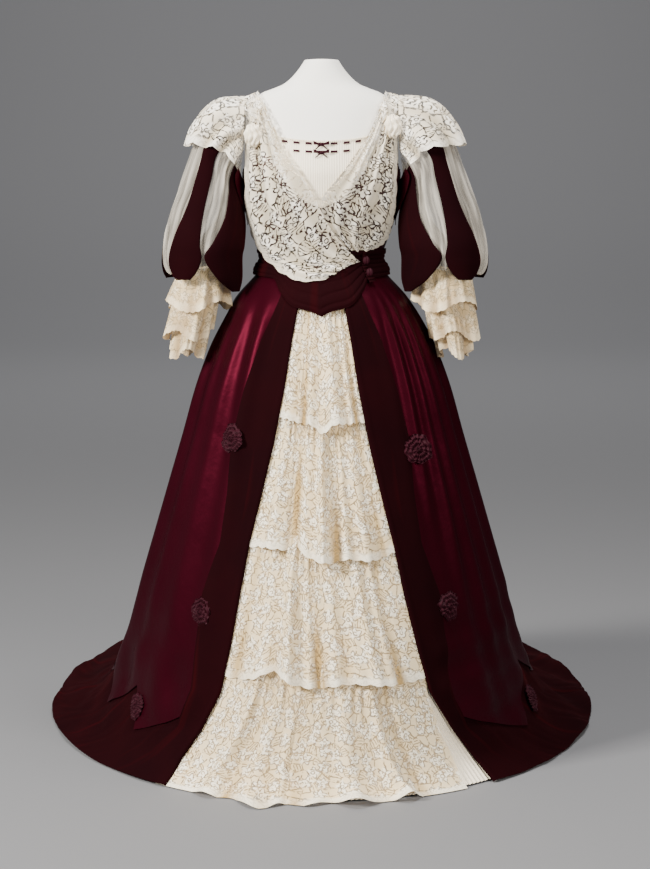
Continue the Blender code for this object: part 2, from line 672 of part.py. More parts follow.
def flounces(name, surface, side):
    """Three lace flounces that hang from the sleeve's lower edge, each inside the one above."""
    around = np.radians(np.arange(0, 360, 18))
    ring = surface(around, np.full(around.shape, len(SLEEVE["y"]) - 1.0))
    start = ring.mean(axis=0)
    half_x = np.abs(ring[:, 0] - start[0]).max()
    half_y = np.abs(ring[:, 1] - start[1]).max()
    for number, (bottom, centre_x, radius_x, radius_y, wave) in enumerate(zip(*FLOUNCES.values()), 1):
        nested = TOUCH + (number - 1) * (LACE + SEAM)
        waves = .5 + .5 * np.cos(around * 5)
        low = bottom - .012 * np.sin(around * 5)
        sides = {0: [], LACE: []}
        for share in ([0, .5, 1] if number == 1 else [0, 1]):
            middle_x = blend(start[0], side * centre_x, share)
            z = blend(ring[:, 2] - TOUCH, low, share)
            for inwards, points in sides.items():
                reach_x = blend(half_x - nested, radius_x, share ** .8) + wave * waves * share - inwards
                reach_y = blend(half_y - nested, radius_y, share ** .8) + wave * waves * share - inwards
                x = middle_x + side * reach_x * np.sin(around)
                points.append(np.stack([x, start[1] - reach_y * np.cos(around), z], axis=-1))
        outer, inner = (np.stack(points, axis=1) for points in sides.values())
        wall(f"cuff_{name}_{number}", outer, inner, "lace", closed=True)


BELT_EDGE = table("x z", (0, .924), (.012, .932), (.045, .943), (.075, .970), (.105, .995), (.20, 1.000))


def belt():
    """The draped sash with a point in front, and the ruched closure on its right."""
    columns = TORSO_COLUMNS
    front = np.cos(columns) > 0
    x = .150 * np.abs(np.sin(columns))
    bottom = np.where(front, smooth(x, BELT_EDGE["x"], BELT_EDGE["z"]), 1.000)
    share = np.linspace(0, 1, 7)
    z = blend(1.054, bottom[:, None], share[None, :])
    a = np.repeat(columns[:, None], len(share), axis=1)
    folds = .0020 * (np.arange(len(share)) % 2)[None, :]
    hollow = .0055 * (1 - ramp(np.cos(columns), .2, .8))[:, None] * np.exp(-((z - 1.015) / .014) ** 2)
    outer = lifted(body, a, level(z), .0042 + folds + hollow)
    inner = lifted(body, a, level(z), .0020 + hollow)
    wall("belt", outer, inner, "velvet", closed=True)
    angle = np.radians(np.linspace(40, 45, 2))
    share = np.linspace(0, 1, 9)
    z = blend(1.052, .985, share)
    a, b = np.meshgrid(angle, level(z), indexing="ij")
    pucker = .0015 * (np.arange(9) % 2)[None, :]
    panel("belt_closure", body, a, b, .0088 + pucker + 0 * a, .0020, "velvet")


def overskirt():
    """Velvet front borders, satin panels with a pointed lower edge, and velvet hem borders."""
    top = float(level(WAIST))
    pieces = []
    for side, name, opening, points in ((-1, "right", "open_left", POINTS_LEFT),
                                        (1, "left", "open_right", POINTS_RIGHT)):
        column = np.arange(SIDE_COLUMNS + 1)
        low = np.interp(column, points["column"], level(points["z"]))
        share = (column / SIDE_COLUMNS)[:, None]
        rows = blend(top, low[:, None], UPPER_ROWS[None, :])
        angle = blend(angle_at(edge("border", rows), rows), SIDE_SEAM, share)
        pieces.append(panel(f"satin_side_{name}", skirt, side * angle, rows, np.zeros(angle.shape), SATIN,
                            "satin", "left right top bottom"))
        border_rows = np.concatenate([rows[0], blend(low[0], HEM_ROW, LOWER_ROWS[1:])])
        across = np.linspace(0, 1, 4)[:, None]
        b = np.repeat(border_rows[None, :], 4, axis=0)
        a = side * blend(angle_at(edge(opening, b), b), angle_at(edge("border", b), b), across)
        pieces.append(panel(f"front_border_{name}", skirt, a, b, np.zeros(a.shape), SATIN, "velvet", "right top"))
        behind = np.arange(TRAIN_COLUMNS // 2 + 1)
        train_low = np.interp(behind, POINTS_TRAIN["column"], level(POINTS_TRAIN["z"]))
        hem_low = np.concatenate([low, train_low[1:]])
        b = blend(hem_low[:, None], HEM_ROW, LOWER_ROWS[None, :])
        front = blend(angle_at(edge("border", b[:SIDE_COLUMNS + 1]), b[:SIDE_COLUMNS + 1]), SIDE_SEAM, share)
        back = SIDE_SEAM + (np.pi - SIDE_SEAM) * behind[1:] / behind[-1]
        a = np.concatenate([front, np.repeat(back[:, None], len(LOWER_ROWS), axis=1)])
        pieces.append(panel(f"hem_border_{name}", skirt, side * a, b, np.zeros(a.shape), SATIN, "velvet",
                            "left right top"))
    columns = np.arange(TRAIN_COLUMNS + 1)
    low = np.interp(np.minimum(columns, TRAIN_COLUMNS - columns), POINTS_TRAIN["column"], level(POINTS_TRAIN["z"]))
    b = blend(top, low[:, None], UPPER_ROWS[None, :])
    angle = SIDE_SEAM + (2 * np.pi - 2 * SIDE_SEAM) * columns / TRAIN_COLUMNS
    a = np.repeat(angle[:, None], len(UPPER_ROWS), axis=1)
    pieces.append(panel("satin_train", skirt, a, b, np.zeros(a.shape), SATIN, "satin", "left right top bottom"))
    return pieces


def between_edges(share, rows, right="open_right", tuck=.022):
    """Angles across the front opening, from under one velvet border to under the other."""
    low = -angle_at(edge("open_left", rows) + tuck, rows)
    high = angle_at(edge(right, rows) + (0 if right == "lace_right" else tuck), rows)
    return blend(low, high, share)


def underskirt():
    """Cream front panel, its pleated flounce, and the four lace tiers over them."""
    columns = np.linspace(0, 1, 9)[:, None]
    rows = np.repeat(np.linspace(float(level(.990)), float(level(LOW_LEVELS[0])), 8)[None, :], 9, axis=0)
    a = between_edges(columns, rows)
    panel("underskirt_front", body, a, rows, np.full(a.shape, -.0085), LACE, "lace", "bottom")
    columns = np.linspace(0, 1, 29)[:, None]
    rows = np.repeat(level(LOW_LEVELS)[None, :], 29, axis=0)
    a = between_edges(columns, rows)
    pleats = .0035 * (np.arange(29) % 2)[:, None] * np.array([.3, .8, 1, 1])
    panel("pleated_flounce", body, a, rows, -.0108 + pleats, LACE, "lace", "top")
    for number, (top, bottom, folds, depth, inset) in enumerate(zip(*TIERS.values()), 1):
        count = int(folds) * 3 + 1
        across = np.linspace(0, 1, count)[:, None]
        scallop = SCALLOP * np.abs(np.sin(across * np.pi * folds * .75))
        if number < len(TIERS["top"]):
            down = np.linspace(0, 1, 5)[None, :]
            rows = blend(float(level(top)), level(bottom + SCALLOP - scallop), down)
        else:
            rows = np.repeat(level([top, .215, *LOW_LEVELS, bottom])[None, :], count, axis=0)
            down = (rows - rows[:, :1]) / (rows[:, -1:] - rows[:, :1])
        a = between_edges(across, rows, "lace_right" if number == 4 else "open_right")
        inside = ramp(across, .17, .3) * (1 - ramp(across, .7, .83))
        wave = .5 - .5 * np.cos(across * 2 * np.pi * folds + 2 * np.sin(across * 7 + number))
        out = blend(-inset, -.0034, down) + depth * wave * down ** .7 * inside
        gaps = {(i, j) for i in range(3, count - 4, 4) for j in ((i + number) % 2 + 1,)}
        panel(f"lace_tier_{number}", body, a, rows, out, LACE, "lace", gaps=gaps)


def rosettes(panels):
    """Gathered ribbon rosettes: ruffled discs that lie on the highest folds of the panels under them."""
    around = np.arange(12) * 2 * np.pi / 12
    fine = np.arange(60) * 2 * np.pi / 60
    trees = [search_tree(piece) for piece in panels]
    for number, (x, z) in enumerate(zip(*ROSETTES.values()), 1):
        row = level(z)
        angle = angle_at(x, row)
        middle, above = skirt(angle, row), lifted(skirt, angle, row, .01)
        away = (above - middle) / .01
        across = np.cross([0, 0, 1.0], away)
        across /= np.linalg.norm(across)
        up = np.cross(away, across)
        spread = np.cos(around)[:, None] * across + np.sin(around)[:, None] * up
        feelers = np.cos(fine)[:, None] * across + np.sin(fine)[:, None] * up
        seat = -ROSETTE_RADIUS
        for radius in np.linspace(0, .96, 8):
            for step in feelers:
                hit = rest_on(trees, middle + step * ROSETTE_RADIUS * radius + away * .06, -away)
                if hit is not None:
                    seat = max(seat, float(np.dot(hit - middle, away)))
        seat += TOUCH
        rings = [middle + spread * ROSETTE_RADIUS * .96 + away * seat]
        for radius, rise, wave in ((1.0, .0030, .0015), (.75, .0060, .0022), (.35, .0085, .0022)):
            lift = seat + rise + wave * (np.arange(12) % 2)
            rings.append(middle + spread * ROSETTE_RADIUS * radius + lift[:, None] * away)
        turned_solid(f"rosette_{number}", rings, "ribbon")


def build():
    """All pieces, from the form outwards."""
    for old in list(bpy.data.objects):
        bpy.data.objects.remove(old, do_unlink=True)
    dress_form()
    bodice()
    chemisette()
    left = lace_front("lace_front_right", FRONT_LEFT, {(2, 3), (4, 4), (6, 3), (3, 6), (5, 7), (7, 6), (4, 9)})
    right = lace_front("lace_front_left", FRONT_RIGHT, {(2, 3), (4, 4), (6, 3), (3, 6), (5, 7), (7, 6)})
    lace_back()
    knot("lace_knot_right", -.122, 1.276, left)
    knot("lace_knot_left", .128, 1.294, right)
    sleeves()
    belt()
    rosettes(overskirt())
    underskirt()


build()
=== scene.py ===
# %% [markdown]
# An evening dress with a train, worn by a limbless dress form. The bodice and the overskirt are burgundy
# satin. The borders, the belt and the slashed oversleeves are velvet, and the front, the shoulders and
# the cuffs are cream lace. This script dresses the solids of the dress in thin cloth. The front faces -Y
# and the wearer's left is +X. All sizes are metres.

# %% Load the frame
import json
import math

import bpy
import numpy as np
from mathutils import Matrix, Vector

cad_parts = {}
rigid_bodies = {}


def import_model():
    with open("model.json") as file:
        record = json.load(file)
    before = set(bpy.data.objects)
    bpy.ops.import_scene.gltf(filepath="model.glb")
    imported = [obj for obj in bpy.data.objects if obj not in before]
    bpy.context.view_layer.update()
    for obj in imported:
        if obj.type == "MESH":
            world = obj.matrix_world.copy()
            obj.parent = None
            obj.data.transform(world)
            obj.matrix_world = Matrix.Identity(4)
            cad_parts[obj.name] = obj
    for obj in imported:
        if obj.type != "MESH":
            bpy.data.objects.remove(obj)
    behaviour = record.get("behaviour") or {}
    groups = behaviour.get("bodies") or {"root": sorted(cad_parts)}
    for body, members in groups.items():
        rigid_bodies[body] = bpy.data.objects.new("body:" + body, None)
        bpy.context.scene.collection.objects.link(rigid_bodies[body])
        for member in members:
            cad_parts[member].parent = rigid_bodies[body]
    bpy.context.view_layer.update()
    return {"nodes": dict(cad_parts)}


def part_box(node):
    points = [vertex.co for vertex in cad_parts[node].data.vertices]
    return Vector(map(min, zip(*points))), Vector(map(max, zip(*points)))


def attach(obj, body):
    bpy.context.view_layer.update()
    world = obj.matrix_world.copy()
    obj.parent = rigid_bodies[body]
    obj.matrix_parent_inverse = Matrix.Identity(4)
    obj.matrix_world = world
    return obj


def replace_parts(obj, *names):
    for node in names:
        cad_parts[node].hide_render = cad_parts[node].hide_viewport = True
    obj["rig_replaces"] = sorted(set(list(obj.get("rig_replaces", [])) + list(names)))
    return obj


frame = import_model()
print("nodes in the frame:", len(frame["nodes"]))

# %% [markdown]
# The garment's body is a stack of sections. Each is half an ellipse in front of the line y = middle and
# half an ellipse behind it. The tables name the sizes of each section, of each edge and of each fold.

# %% Sections and edges
SATIN = .0015
CLEAR = .0031
WAIST = 1.029
HEM = .004
FORM_FOOT = .82
SIDE_SEAM = np.radians(95)


def table(columns, *rows):
    """A table with named columns, a row for each section."""
    return dict(zip(columns.split(), np.array(rows, float).T))


BODY = table("z half_width front middle back",
    (1.432, .037, .030, .012, .052),
    (1.410, .052, .040, .010, .062),
    (1.385, .078, .050, .006, .070),
    (1.365, .126, .062, .002, .078),
    (1.340, .150, .076, .000, .086),
    (1.300, .157, .094, .000, .094),
    (1.250, .159, .112, .000, .098),
    (1.200, .159, .124, .000, .098),
    (1.150, .155, .120, .000, .096),
    (1.110, .147, .110, .000, .094),
    (1.070, .133, .098, .000, .090),
    (1.030, .120, .090, .000, .088),
    (1.005, .130, .100, .000, .102),
    (.950, .177, .135, .000, .165),
    (.880, .210, .157, .010, .220),
    (.780, .249, .182, .020, .300),
    (.680, .278, .202, .040, .380),
    (.580, .308, .222, .060, .460),
    (.480, .338, .242, .090, .550),
    (.380, .368, .262, .120, .640),
    (.280, .396, .280, .160, .740),
    (.190, .425, .295, .210, .840),
    (.110, .462, .305, .280, .950),
    (.050, .515, .318, .360, 1.080),
    (.020, .570, .333, .430, 1.220),
    (HEM, .610, .350, .500, 1.450))
EDGES = table("z open_left open_right border lace_right",
    (1.030, .024, .024, .052, .046),
    (1.005, .030, .030, .062, .052),
    (.950, .045, .045, .085, .067),
    (.880, .058, .058, .115, .080),
    (.780, .074, .074, .147, .096),
    (.680, .094, .094, .172, .116),
    (.580, .118, .118, .180, .140),
    (.480, .143, .143, .195, .165),
    (.380, .162, .165, .232, .187),
    (.280, .180, .190, .246, .208),
    (.190, .200, .215, .255, .212),
    (.110, .240, .262, .290, .238),
    (.050, .280, .305, .345, .266),
    (.020, .298, .330, .390, .280),
    (HEM, .310, .345, .425, .290))
POINTS_LEFT = table("column z", (0, .13), (3, .075), (6, .16), (9, .085), (12, .17), (16, .095))
POINTS_RIGHT = table("column z", (0, .13), (5, .065), (10, .19), (16, .095))
POINTS_TRAIN = table("column z", (0, .095), (4, .158), (8, .036), (12, .081), (16, .019))
FOLDS = table("angle width depth top bottom",
    (42, 2.8, .012, .99, .45),
    (50, 2.9, .014, .99, .30),
    (58, 3.2, .012, .99, .10),
    (68, 4.0, .010, .98, .05),
    (82, 5.0, .012, .97, .02),
    (-36, 4.0, .005, .97, .10),
    (-50, 4.5, .008, .97, .02),
    (-64, 4.0, .007, .98, .05),
    (-78, 5.0, .010, .97, .02))
COLUMNS = 16
PLEAT_ANGLE = 17.0
PLEAT_DEPTH = .016


def smooth(at, stops, values):
    """A monotone cubic through the values, with no overshoot between two rows."""
    at = np.clip(at, stops[0], stops[-1])
    step = np.diff(stops)
    slope = np.diff(values) / step
    before, after = slope[:-1], slope[1:]
    total = np.where(before + after == 0, 1, before + after)
    inner = np.where(before * after > 0, 2 * before * after / total, 0)
    turn = np.concatenate([slope[:1], inner, slope[-1:]])
    k = np.clip(np.searchsorted(stops, at, side="right") - 1, 0, len(step) - 1)
    u = (at - stops[k]) / step[k]
    start = values[k] * (1 + 2 * u) * (1 - u) ** 2 + turn[k] * step[k] * u * (1 - u) ** 2
    end = values[k + 1] * (3 - 2 * u) * u ** 2 - turn[k + 1] * step[k] * (1 - u) * u ** 2
    return start + end


def blend(low, high, share):
    """Straight mix of two values."""
    return low + (high - low) * share


def ramp(x, low, high):
    """0 before low, 1 after high, smooth between."""
    share = np.clip((x - low) / (high - low), 0, 1)
    return share * share * (3 - 2 * share)


def bell(x, middle, width):
    """1 at the middle, falling to nothing a few widths away."""
    return np.exp(-((x - middle) / width) ** 2)


def crossed(first, second):
    """Two arrays that cover every pair of values, the first running down the rows."""
    return np.meshgrid(first, second, indexing="ij")


def grid(x, y, z):
    """Points from arrays of their three coordinates."""
    return np.stack(np.broadcast_arrays(x, y, z), axis=-1)


def finer(count):
    return count


def steps(low, high, count):
    return np.linspace(low, high, finer(count))


def full_turn(count):
    return np.linspace(0, 2 * np.pi, finer(count), endpoint=False)


ROW_NUMBERS = np.arange(len(BODY["z"]), dtype=float)
FINE_ROWS = np.linspace(0, ROW_NUMBERS[-1], 4001)
FINE_HEIGHTS = smooth(FINE_ROWS, ROW_NUMBERS, BODY["z"])
HEM_ROW = ROW_NUMBERS[-1]


def height(row):
    """Height of the body's surface at a row number, which may lie between two sections."""
    return smooth(row, ROW_NUMBERS, BODY["z"])


def level(z):
    """Row number at a height."""
    return np.interp(-np.asarray(z, float), -FINE_HEIGHTS, FINE_ROWS)


def edge(name, row):
    """Half-width in X of one of the edges down the front."""
    return np.interp(-height(row), -EDGES["z"], EDGES[name])


def angle_at(x, row):
    """Angle from the front at which the body's section reaches an X."""
    return np.arcsin(np.clip(x / smooth(row, ROW_NUMBERS, BODY["half_width"]), -1, 1))


def turned(angle):
    """The same angle between -180 and 180 degrees."""
    return (angle + np.pi) % (2 * np.pi) - np.pi


def body(angle, row, lift=0.0, rise=0.0):
    """x = width sin(angle), y = middle - reach cos(angle), moved out level by lift and up by rise."""
    width = smooth(row, ROW_NUMBERS, BODY["half_width"])
    front = smooth(row, ROW_NUMBERS, BODY["front"])
    middle = smooth(row, ROW_NUMBERS, BODY["middle"])
    back = smooth(row, ROW_NUMBERS, BODY["back"])
    reach = np.where(np.cos(angle) > 0, middle + front, back - middle)
    out_x = np.sin(angle) / width
    out_y = -np.cos(angle) / reach
    size = np.hypot(out_x, out_y)
    x = width * np.sin(angle) + out_x / size * lift
    y = middle - reach * np.cos(angle) + out_y / size * lift
    return grid(x, y, height(row) + rise)


def skirt(angle, row):
    """The overskirt: the body, plus a ridge for each fold, a wave for the back pleats and low ripples
    where the train lies on the floor."""
    z = height(row)
    lift = np.zeros(np.broadcast(angle, row).shape)
    for where, width, depth, top, bottom in zip(*FOLDS.values()):
        near = turned(angle - np.radians(where)) / np.radians(width)
        run = ramp(-z, -top, -top + .12) * (1 - .8 * ramp(-z, -bottom - .25, -bottom))
        lift = lift + depth * np.exp(-near ** 2) * run
    behind = ramp(np.abs(turned(angle)), np.radians(100), np.radians(125))
    pleats = .5 + .5 * np.cos(turned(angle) * 360 / PLEAT_ANGLE)
    drop = ramp(-z, -1.0, -.82) * (1 - .6 * ramp(-z, -.2, -.02))
    lift = lift + behind * drop * pleats * PLEAT_DEPTH
    lying = ramp(-z, -.11, -.02) * ramp(np.abs(turned(angle)), np.radians(50), np.radians(80))
    rise = lying * .009 * (.5 + .5 * np.cos(turned(angle) * 17 + 2.5 * row))
    return body(angle, row, lift, rise)


def lifted(surface, a, b, out, flip=1.0):
    """Points of a surface moved out along its normal, the cross product of two short steps."""
    step_a = surface(a + 1e-3, b) - surface(a - 1e-3, b)
    step_b = surface(a, b + 1e-2) - surface(a, b - 1e-2)
    normal = flip * np.cross(step_b, step_a)
    normal = normal / np.linalg.norm(normal, axis=-1, keepdims=True)
    return surface(a, b) + normal * np.asarray(out)[..., None]


def waves(x, y, size, seed):
    """Uneven ripples between -1 and 1: the mean of six sine waves, each about size long, in random
    directions."""
    random = np.random.default_rng(seed)
    total = 0
    for _ in range(6):
        turn, phase = random.uniform(0, 2 * np.pi, 2)
        length = size * random.uniform(.7, 1.6)
        total = total + np.sin(2 * np.pi * (x * np.cos(turn) + y * np.sin(turn)) / length + phase)
    return total / 6


def resample(points, count):
    """A smooth curve through each row of points: a cubic from each point to the next, with the slope at
    a point half the step between its neighbours."""
    at = np.linspace(0, points.shape[1] - 1, count)
    k = np.minimum(at.astype(int), points.shape[1] - 2)
    u = (at - k)[None, :, None]
    slope = np.gradient(points, axis=1)
    start = points[:, k] * (1 + 2 * u) * (1 - u) ** 2 + slope[:, k] * u * (1 - u) ** 2
    end = points[:, k + 1] * (3 - 2 * u) * u ** 2 - slope[:, k + 1] * (1 - u) * u ** 2
    return start + end


# %% [markdown]
# Each cloth gets a material built from nodes. Satin is a dark dye under a smooth, slightly purple
# gleam. Velvet drinks the light and glows red at the tips of its pile. Lace is cream thread with holes
# cut by its pattern.

# %% Materials
def colour(code):
    """Linear colour from six sRGB hex digits."""
    part = np.array([int(code[k:k + 2], 16) / 255 for k in (0, 2, 4)])
    linear = np.where(part <= .04045, part / 12.92, ((part + .055) / 1.055) ** 2.4)
    return (*linear.tolist(), 1.0)


def add(tree, kind, inputs=None, **settings):
    """A new node with its settings. An input takes a value or another node's output."""
    made = tree.nodes.new(kind)
    for key, value in settings.items():
        setattr(made, key, value)
    for key, value in (inputs or {}).items():
        if isinstance(value, bpy.types.NodeSocket):
            tree.links.new(value, made.inputs[key])
        else:
            made.inputs[key].default_value = value
    return made


def figure(tree, operation, *values):
    """Output of one step of arithmetic."""
    return add(tree, "ShaderNodeMath", dict(enumerate(values)), operation=operation).outputs[0]


def remap(tree, value, low, high, to_low=0.0, to_high=1.0):
    """Output that runs from to_low to to_high while the value runs from low to high."""
    return add(tree, "ShaderNodeMapRange", {0: value, 1: low, 2: high, 3: to_low, 4: to_high}).outputs[0]


def noise(tree, place, scale, detail):
    """Outputs of a cloudy noise."""
    return add(tree, "ShaderNodeTexNoise", {"Vector": place, "Scale": scale, "Detail": detail}).outputs


def mixed(tree, share, one, two):
    """Output of a mix of two colours. Each is a hex code or another node's output."""
    one, two = (colour(part) if isinstance(part, str) else part for part in (one, two))
    return add(tree, "ShaderNodeMix", {0: share, 6: one, 7: two}, data_type="RGBA").outputs[2]


def stretched_uv(tree, scale):
    """Output of the cloth's own UV, which counts metres, times a scale."""
    place = add(tree, "ShaderNodeTexCoord").outputs["UV"]
    return add(tree, "ShaderNodeMapping", {"Vector": place, "Scale": scale}).outputs[0]


def hem_layer(tree):
    """Two outputs: the distance to the hem and the amount of painted shade, for the hollows of folds."""
    layer = add(tree, "ShaderNodeUVMap", uv_map="hem").outputs[0]
    return add(tree, "ShaderNodeSeparateXYZ", {0: layer}).outputs[:2]


def relief(tree, shader, height, strength, distance):
    """Bumps on the shader, distance metres high."""
    bump = add(tree, "ShaderNodeBump", {"Height": height, "Strength": strength, "Distance": distance})
    tree.links.new(bump.outputs["Normal"], shader.inputs["Normal"])


def start_material(name, **values):
    """A material with one Principled shader and the values given."""
    material = bpy.data.materials.new(name)
    material.use_nodes = True
    tree = material.node_tree
    shader = tree.nodes["Principled BSDF"]
    for key, value in values.items():
        shader.inputs[key.replace("_", " ")].default_value = value
    return material, tree, shader


def satin_material():
    """Silk satin: smooth warp floats, so the gleam is stretched across them and a little purple."""
    material, tree, shader = start_material("satin", Roughness=.40, Anisotropic=.35, Metallic=.45,
                                            Specular_Tint=colour("5C1A32"), Specular_IOR_Level=.12)
    place = add(tree, "ShaderNodeTexCoord").outputs["Object"]
    dye = mixed(tree, noise(tree, place, 5.0, 3.0)["Fac"], "26050C", "360815")
    tree.links.new(dye, shader.inputs["Base Color"])
    relief(tree, shader, noise(tree, place, 17.0, 4.0)["Fac"], .30, .007)
    return material


def velvet_material():
    """Silk velvet: nearly black, with a red glow where the pile leans, and painted sheen in thin lines of
    pressed pile.
    """
    material, tree, shader = start_material("velvet", Roughness=.9, Sheen_Weight=.45, Sheen_Roughness=.30,
                                            Specular_IOR_Level=.05)
    nap = noise(tree, add(tree, "ShaderNodeTexCoord").outputs["Object"], 7.0, 5.0)["Fac"]
    # Painted sheen: thin lines of lighter red, 3A0206, where the pile is pressed flat, are mixed into the dye
    # as base colour.
    pressed_pile_sheen = noise(tree, stretched_uv(tree, (30.0, 1.6, 1.0)), 1.0, 2.0)["Fac"]
    line = remap(tree, pressed_pile_sheen, .58, .74, 0.0, .3)
    dye = mixed(tree, line, mixed(tree, nap, "0C0002", "1E0104"), "3A0206")
    tree.links.new(dye, shader.inputs["Base Color"])
    tree.links.new(mixed(tree, nap, "2A0004", "7A0812"), shader.inputs["Sheen Tint"])
    return material


def lace_material(name, thread, shade, openness, painted_shade_colour, motif, gap=1.0):
    """Needle lace, in millimetres of the cloth's own UV. Flowers with five petals, motif millimetres
    apart, stand on a ground of hatched leaves. The thin outlines and hatches are holes, and gap widens
    them. The last band before the hem is whole, and painted shade darkens the hollows of folds."""
    material, tree, shader = start_material(name, Roughness=.85, Sheen_Weight=.15)
    flat = stretched_uv(tree, (1000.0, 1000.0, 1.0))
    to_hem, painted_fold_shade = hem_layer(tree)
    band = remap(tree, to_hem, .010, .018, 1.0, 0.0)
    push = add(tree, "ShaderNodeVectorMath", {0: noise(tree, flat, .035, 2.0)["Color"], 1: (12.0, 12.0, 0.0)},
               operation="MULTIPLY")
    at = add(tree, "ShaderNodeVectorMath", {0: flat, 1: push.outputs[0]}, operation="ADD").outputs[0]

    # Flowers: the petals' outline and a ring round the eye.
    cell = add(tree, "ShaderNodeVectorMath", {0: at, "Scale": 1 / motif}, operation="SCALE").outputs[0]
    flower = add(tree, "ShaderNodeTexVoronoi", {"Vector": cell, "Scale": 1.0, "Randomness": .7},
                 voronoi_dimensions="2D").outputs
    local = add(tree, "ShaderNodeVectorMath", {0: cell, 1: flower["Position"]}, operation="SUBTRACT")
    x, y = add(tree, "ShaderNodeSeparateXYZ", {0: local.outputs[0]}).outputs[:2]
    spin = figure(tree, "MULTIPLY_ADD", figure(tree, "ARCTAN2", y, x), 5.0, 1.0)
    outline = figure(tree, "MULTIPLY_ADD", figure(tree, "COSINE", spin), .085, .33)
    inside = figure(tree, "SUBTRACT", outline, flower["Distance"])
    ring_hole = remap(tree, figure(tree, "ABSOLUTE", inside), .030 * gap, .030 * gap + .025, 1.0, 0.0)
    eye = figure(tree, "ABSOLUTE", figure(tree, "SUBTRACT", flower["Distance"], .11))
    eye_hole = remap(tree, eye, .018 * gap, .018 * gap + .022, 1.0, 0.0)

    # Leaves: cells with a border, about half of them hatched, each at its own slant.
    leaf_cell = add(tree, "ShaderNodeVectorMath", {0: at, "Scale": 1 / (motif * .62)},
                    operation="SCALE").outputs[0]
    leaf = add(tree, "ShaderNodeTexVoronoi", {"Vector": leaf_cell, "Scale": 1.0}, voronoi_dimensions="2D")
    slant, kind = add(tree, "ShaderNodeSeparateColor", {0: leaf.outputs["Color"]}).outputs[:2]
    turn = figure(tree, "MULTIPLY", slant, 3.1416)
    rotated = add(tree, "ShaderNodeVectorRotate", {"Vector": at, "Angle": turn}, rotation_type="Z_AXIS")
    hatch = add(tree, "ShaderNodeTexWave", {"Vector": rotated.outputs[0], "Scale": .062, "Distortion": 2.5,
                                            "Detail": 1.0}, wave_type="BANDS", bands_direction="X")
    hatched = figure(tree, "MULTIPLY", remap(tree, hatch.outputs["Fac"], .62, .85),
                     figure(tree, "GREATER_THAN", kind, .52))
    leaf_hole = figure(tree, "MULTIPLY", hatched, remap(tree, inside, -.09, -.05, 1.0, 0.0))
    border = add(tree, "ShaderNodeTexVoronoi", {"Vector": leaf_cell, "Scale": 1.0}, voronoi_dimensions="2D",
                 feature="DISTANCE_TO_EDGE")
    border_hole = remap(tree, border.outputs["Distance"], .030 * gap, .030 * gap + .04, 1.0, 0.0)

    # The holes together, broken here and there by thread, and none in the band at the hem.
    holes = figure(tree, "MAXIMUM", figure(tree, "MAXIMUM", ring_hole, eye_hole),
                   figure(tree, "MAXIMUM", leaf_hole, border_hole))
    kept = remap(tree, noise(tree, flat, .13, 1.0)["Fac"], .36, .50)
    pierced = figure(tree, "MULTIPLY", holes, kept)
    hole = figure(tree, "MULTIPLY", pierced, remap(tree, band, 0.0, 1.0, 1.0, .25))
    tree.links.new(remap(tree, hole, 0.0, 1.0, 1.0, 1 - openness), shader.inputs["Alpha"])
    dense = figure(tree, "MAXIMUM", remap(tree, inside, -.12, .02), band)
    # Painted shade: in the hollows of folds the cream is darkened towards the colour for painted shade.
    cream = mixed(tree, painted_fold_shade, mixed(tree, dense, shade, thread), painted_shade_colour)
    tree.links.new(cream, shader.inputs["Base Color"])
    relief(tree, shader, figure(tree, "SUBTRACT", dense, hole), .6, .0006)
    return material


def sheer_material():
    """Silk gauze: a thin grey-white net that lets light through, more between its gathers, and darkened in
    the hollows of its folds as painted shade.
    """
    material, tree, shader = start_material("sheer gauze", Roughness=.8, Sheen_Weight=.1, Sheen_Roughness=.5)
    painted_fold_shade = hem_layer(tree)[1]
    # Painted shade: the grey-white darkens towards 6E665C in the hollows of folds.
    tree.links.new(mixed(tree, painted_fold_shade, "D2CABC", "6E665C"), shader.inputs["Base Color"])
    gather = noise(tree, stretched_uv(tree, (70.0, 7.0, 1.0)), 1.0, 3.0)["Fac"]
    tree.links.new(remap(tree, gather, .36, .66, .20, .78), shader.inputs["Alpha"])
    relief(tree, shader, gather, .5, .003)
    return material


def plain_cloth(name, dye, roughness, grain, depth, gloss=.4):
    """A plain woven cloth with a fine grain, grain threads to the metre."""
    material, tree, shader = start_material(name, Roughness=roughness, Sheen_Weight=.02,
                                            Specular_IOR_Level=gloss, Base_Color=colour(dye))
    weave = noise(tree, add(tree, "ShaderNodeTexCoord").outputs["Object"], grain, 2.0)["Fac"]
    relief(tree, shader, weave, .3, depth)
    return material


satin = satin_material()
velvet = velvet_material()
# Painted shade: the last colour of each lace is the tan it is darkened to in the hollows of folds.
lace = lace_material("cream lace", "FFF4DC", "EED8AE", .82, "B8975E", motif=30.0, gap=1.3)
bertha_lace = lace_material("white lace", "FFF8EA", "F0E4CE", .97, "A89878", motif=38.0, gap=1.35)
plain_lace = lace_material("cuff lace", "F4E0BA", "E0C698", .52, "A4845A", motif=24.0)
gauze = sheer_material()
silk = plain_cloth("cream silk", "FFF2DA", .55, 160.0, .0006)
# Painted shade: the cream silk of the underskirt is painted tan, B89C70, as the shade it lies in under the
# lace.
shaded_silk = plain_cloth("silk under the lace", "B89C70", .7, 160.0, .0006)
form_cloth = plain_cloth("form cover", "FFFBF2", .8, 500.0, .0002)
ribbon = plain_cloth("ribbon", "2A0410", .6, 260.0, .0006, gloss=.10)
print("materials:", len(bpy.data.materials))
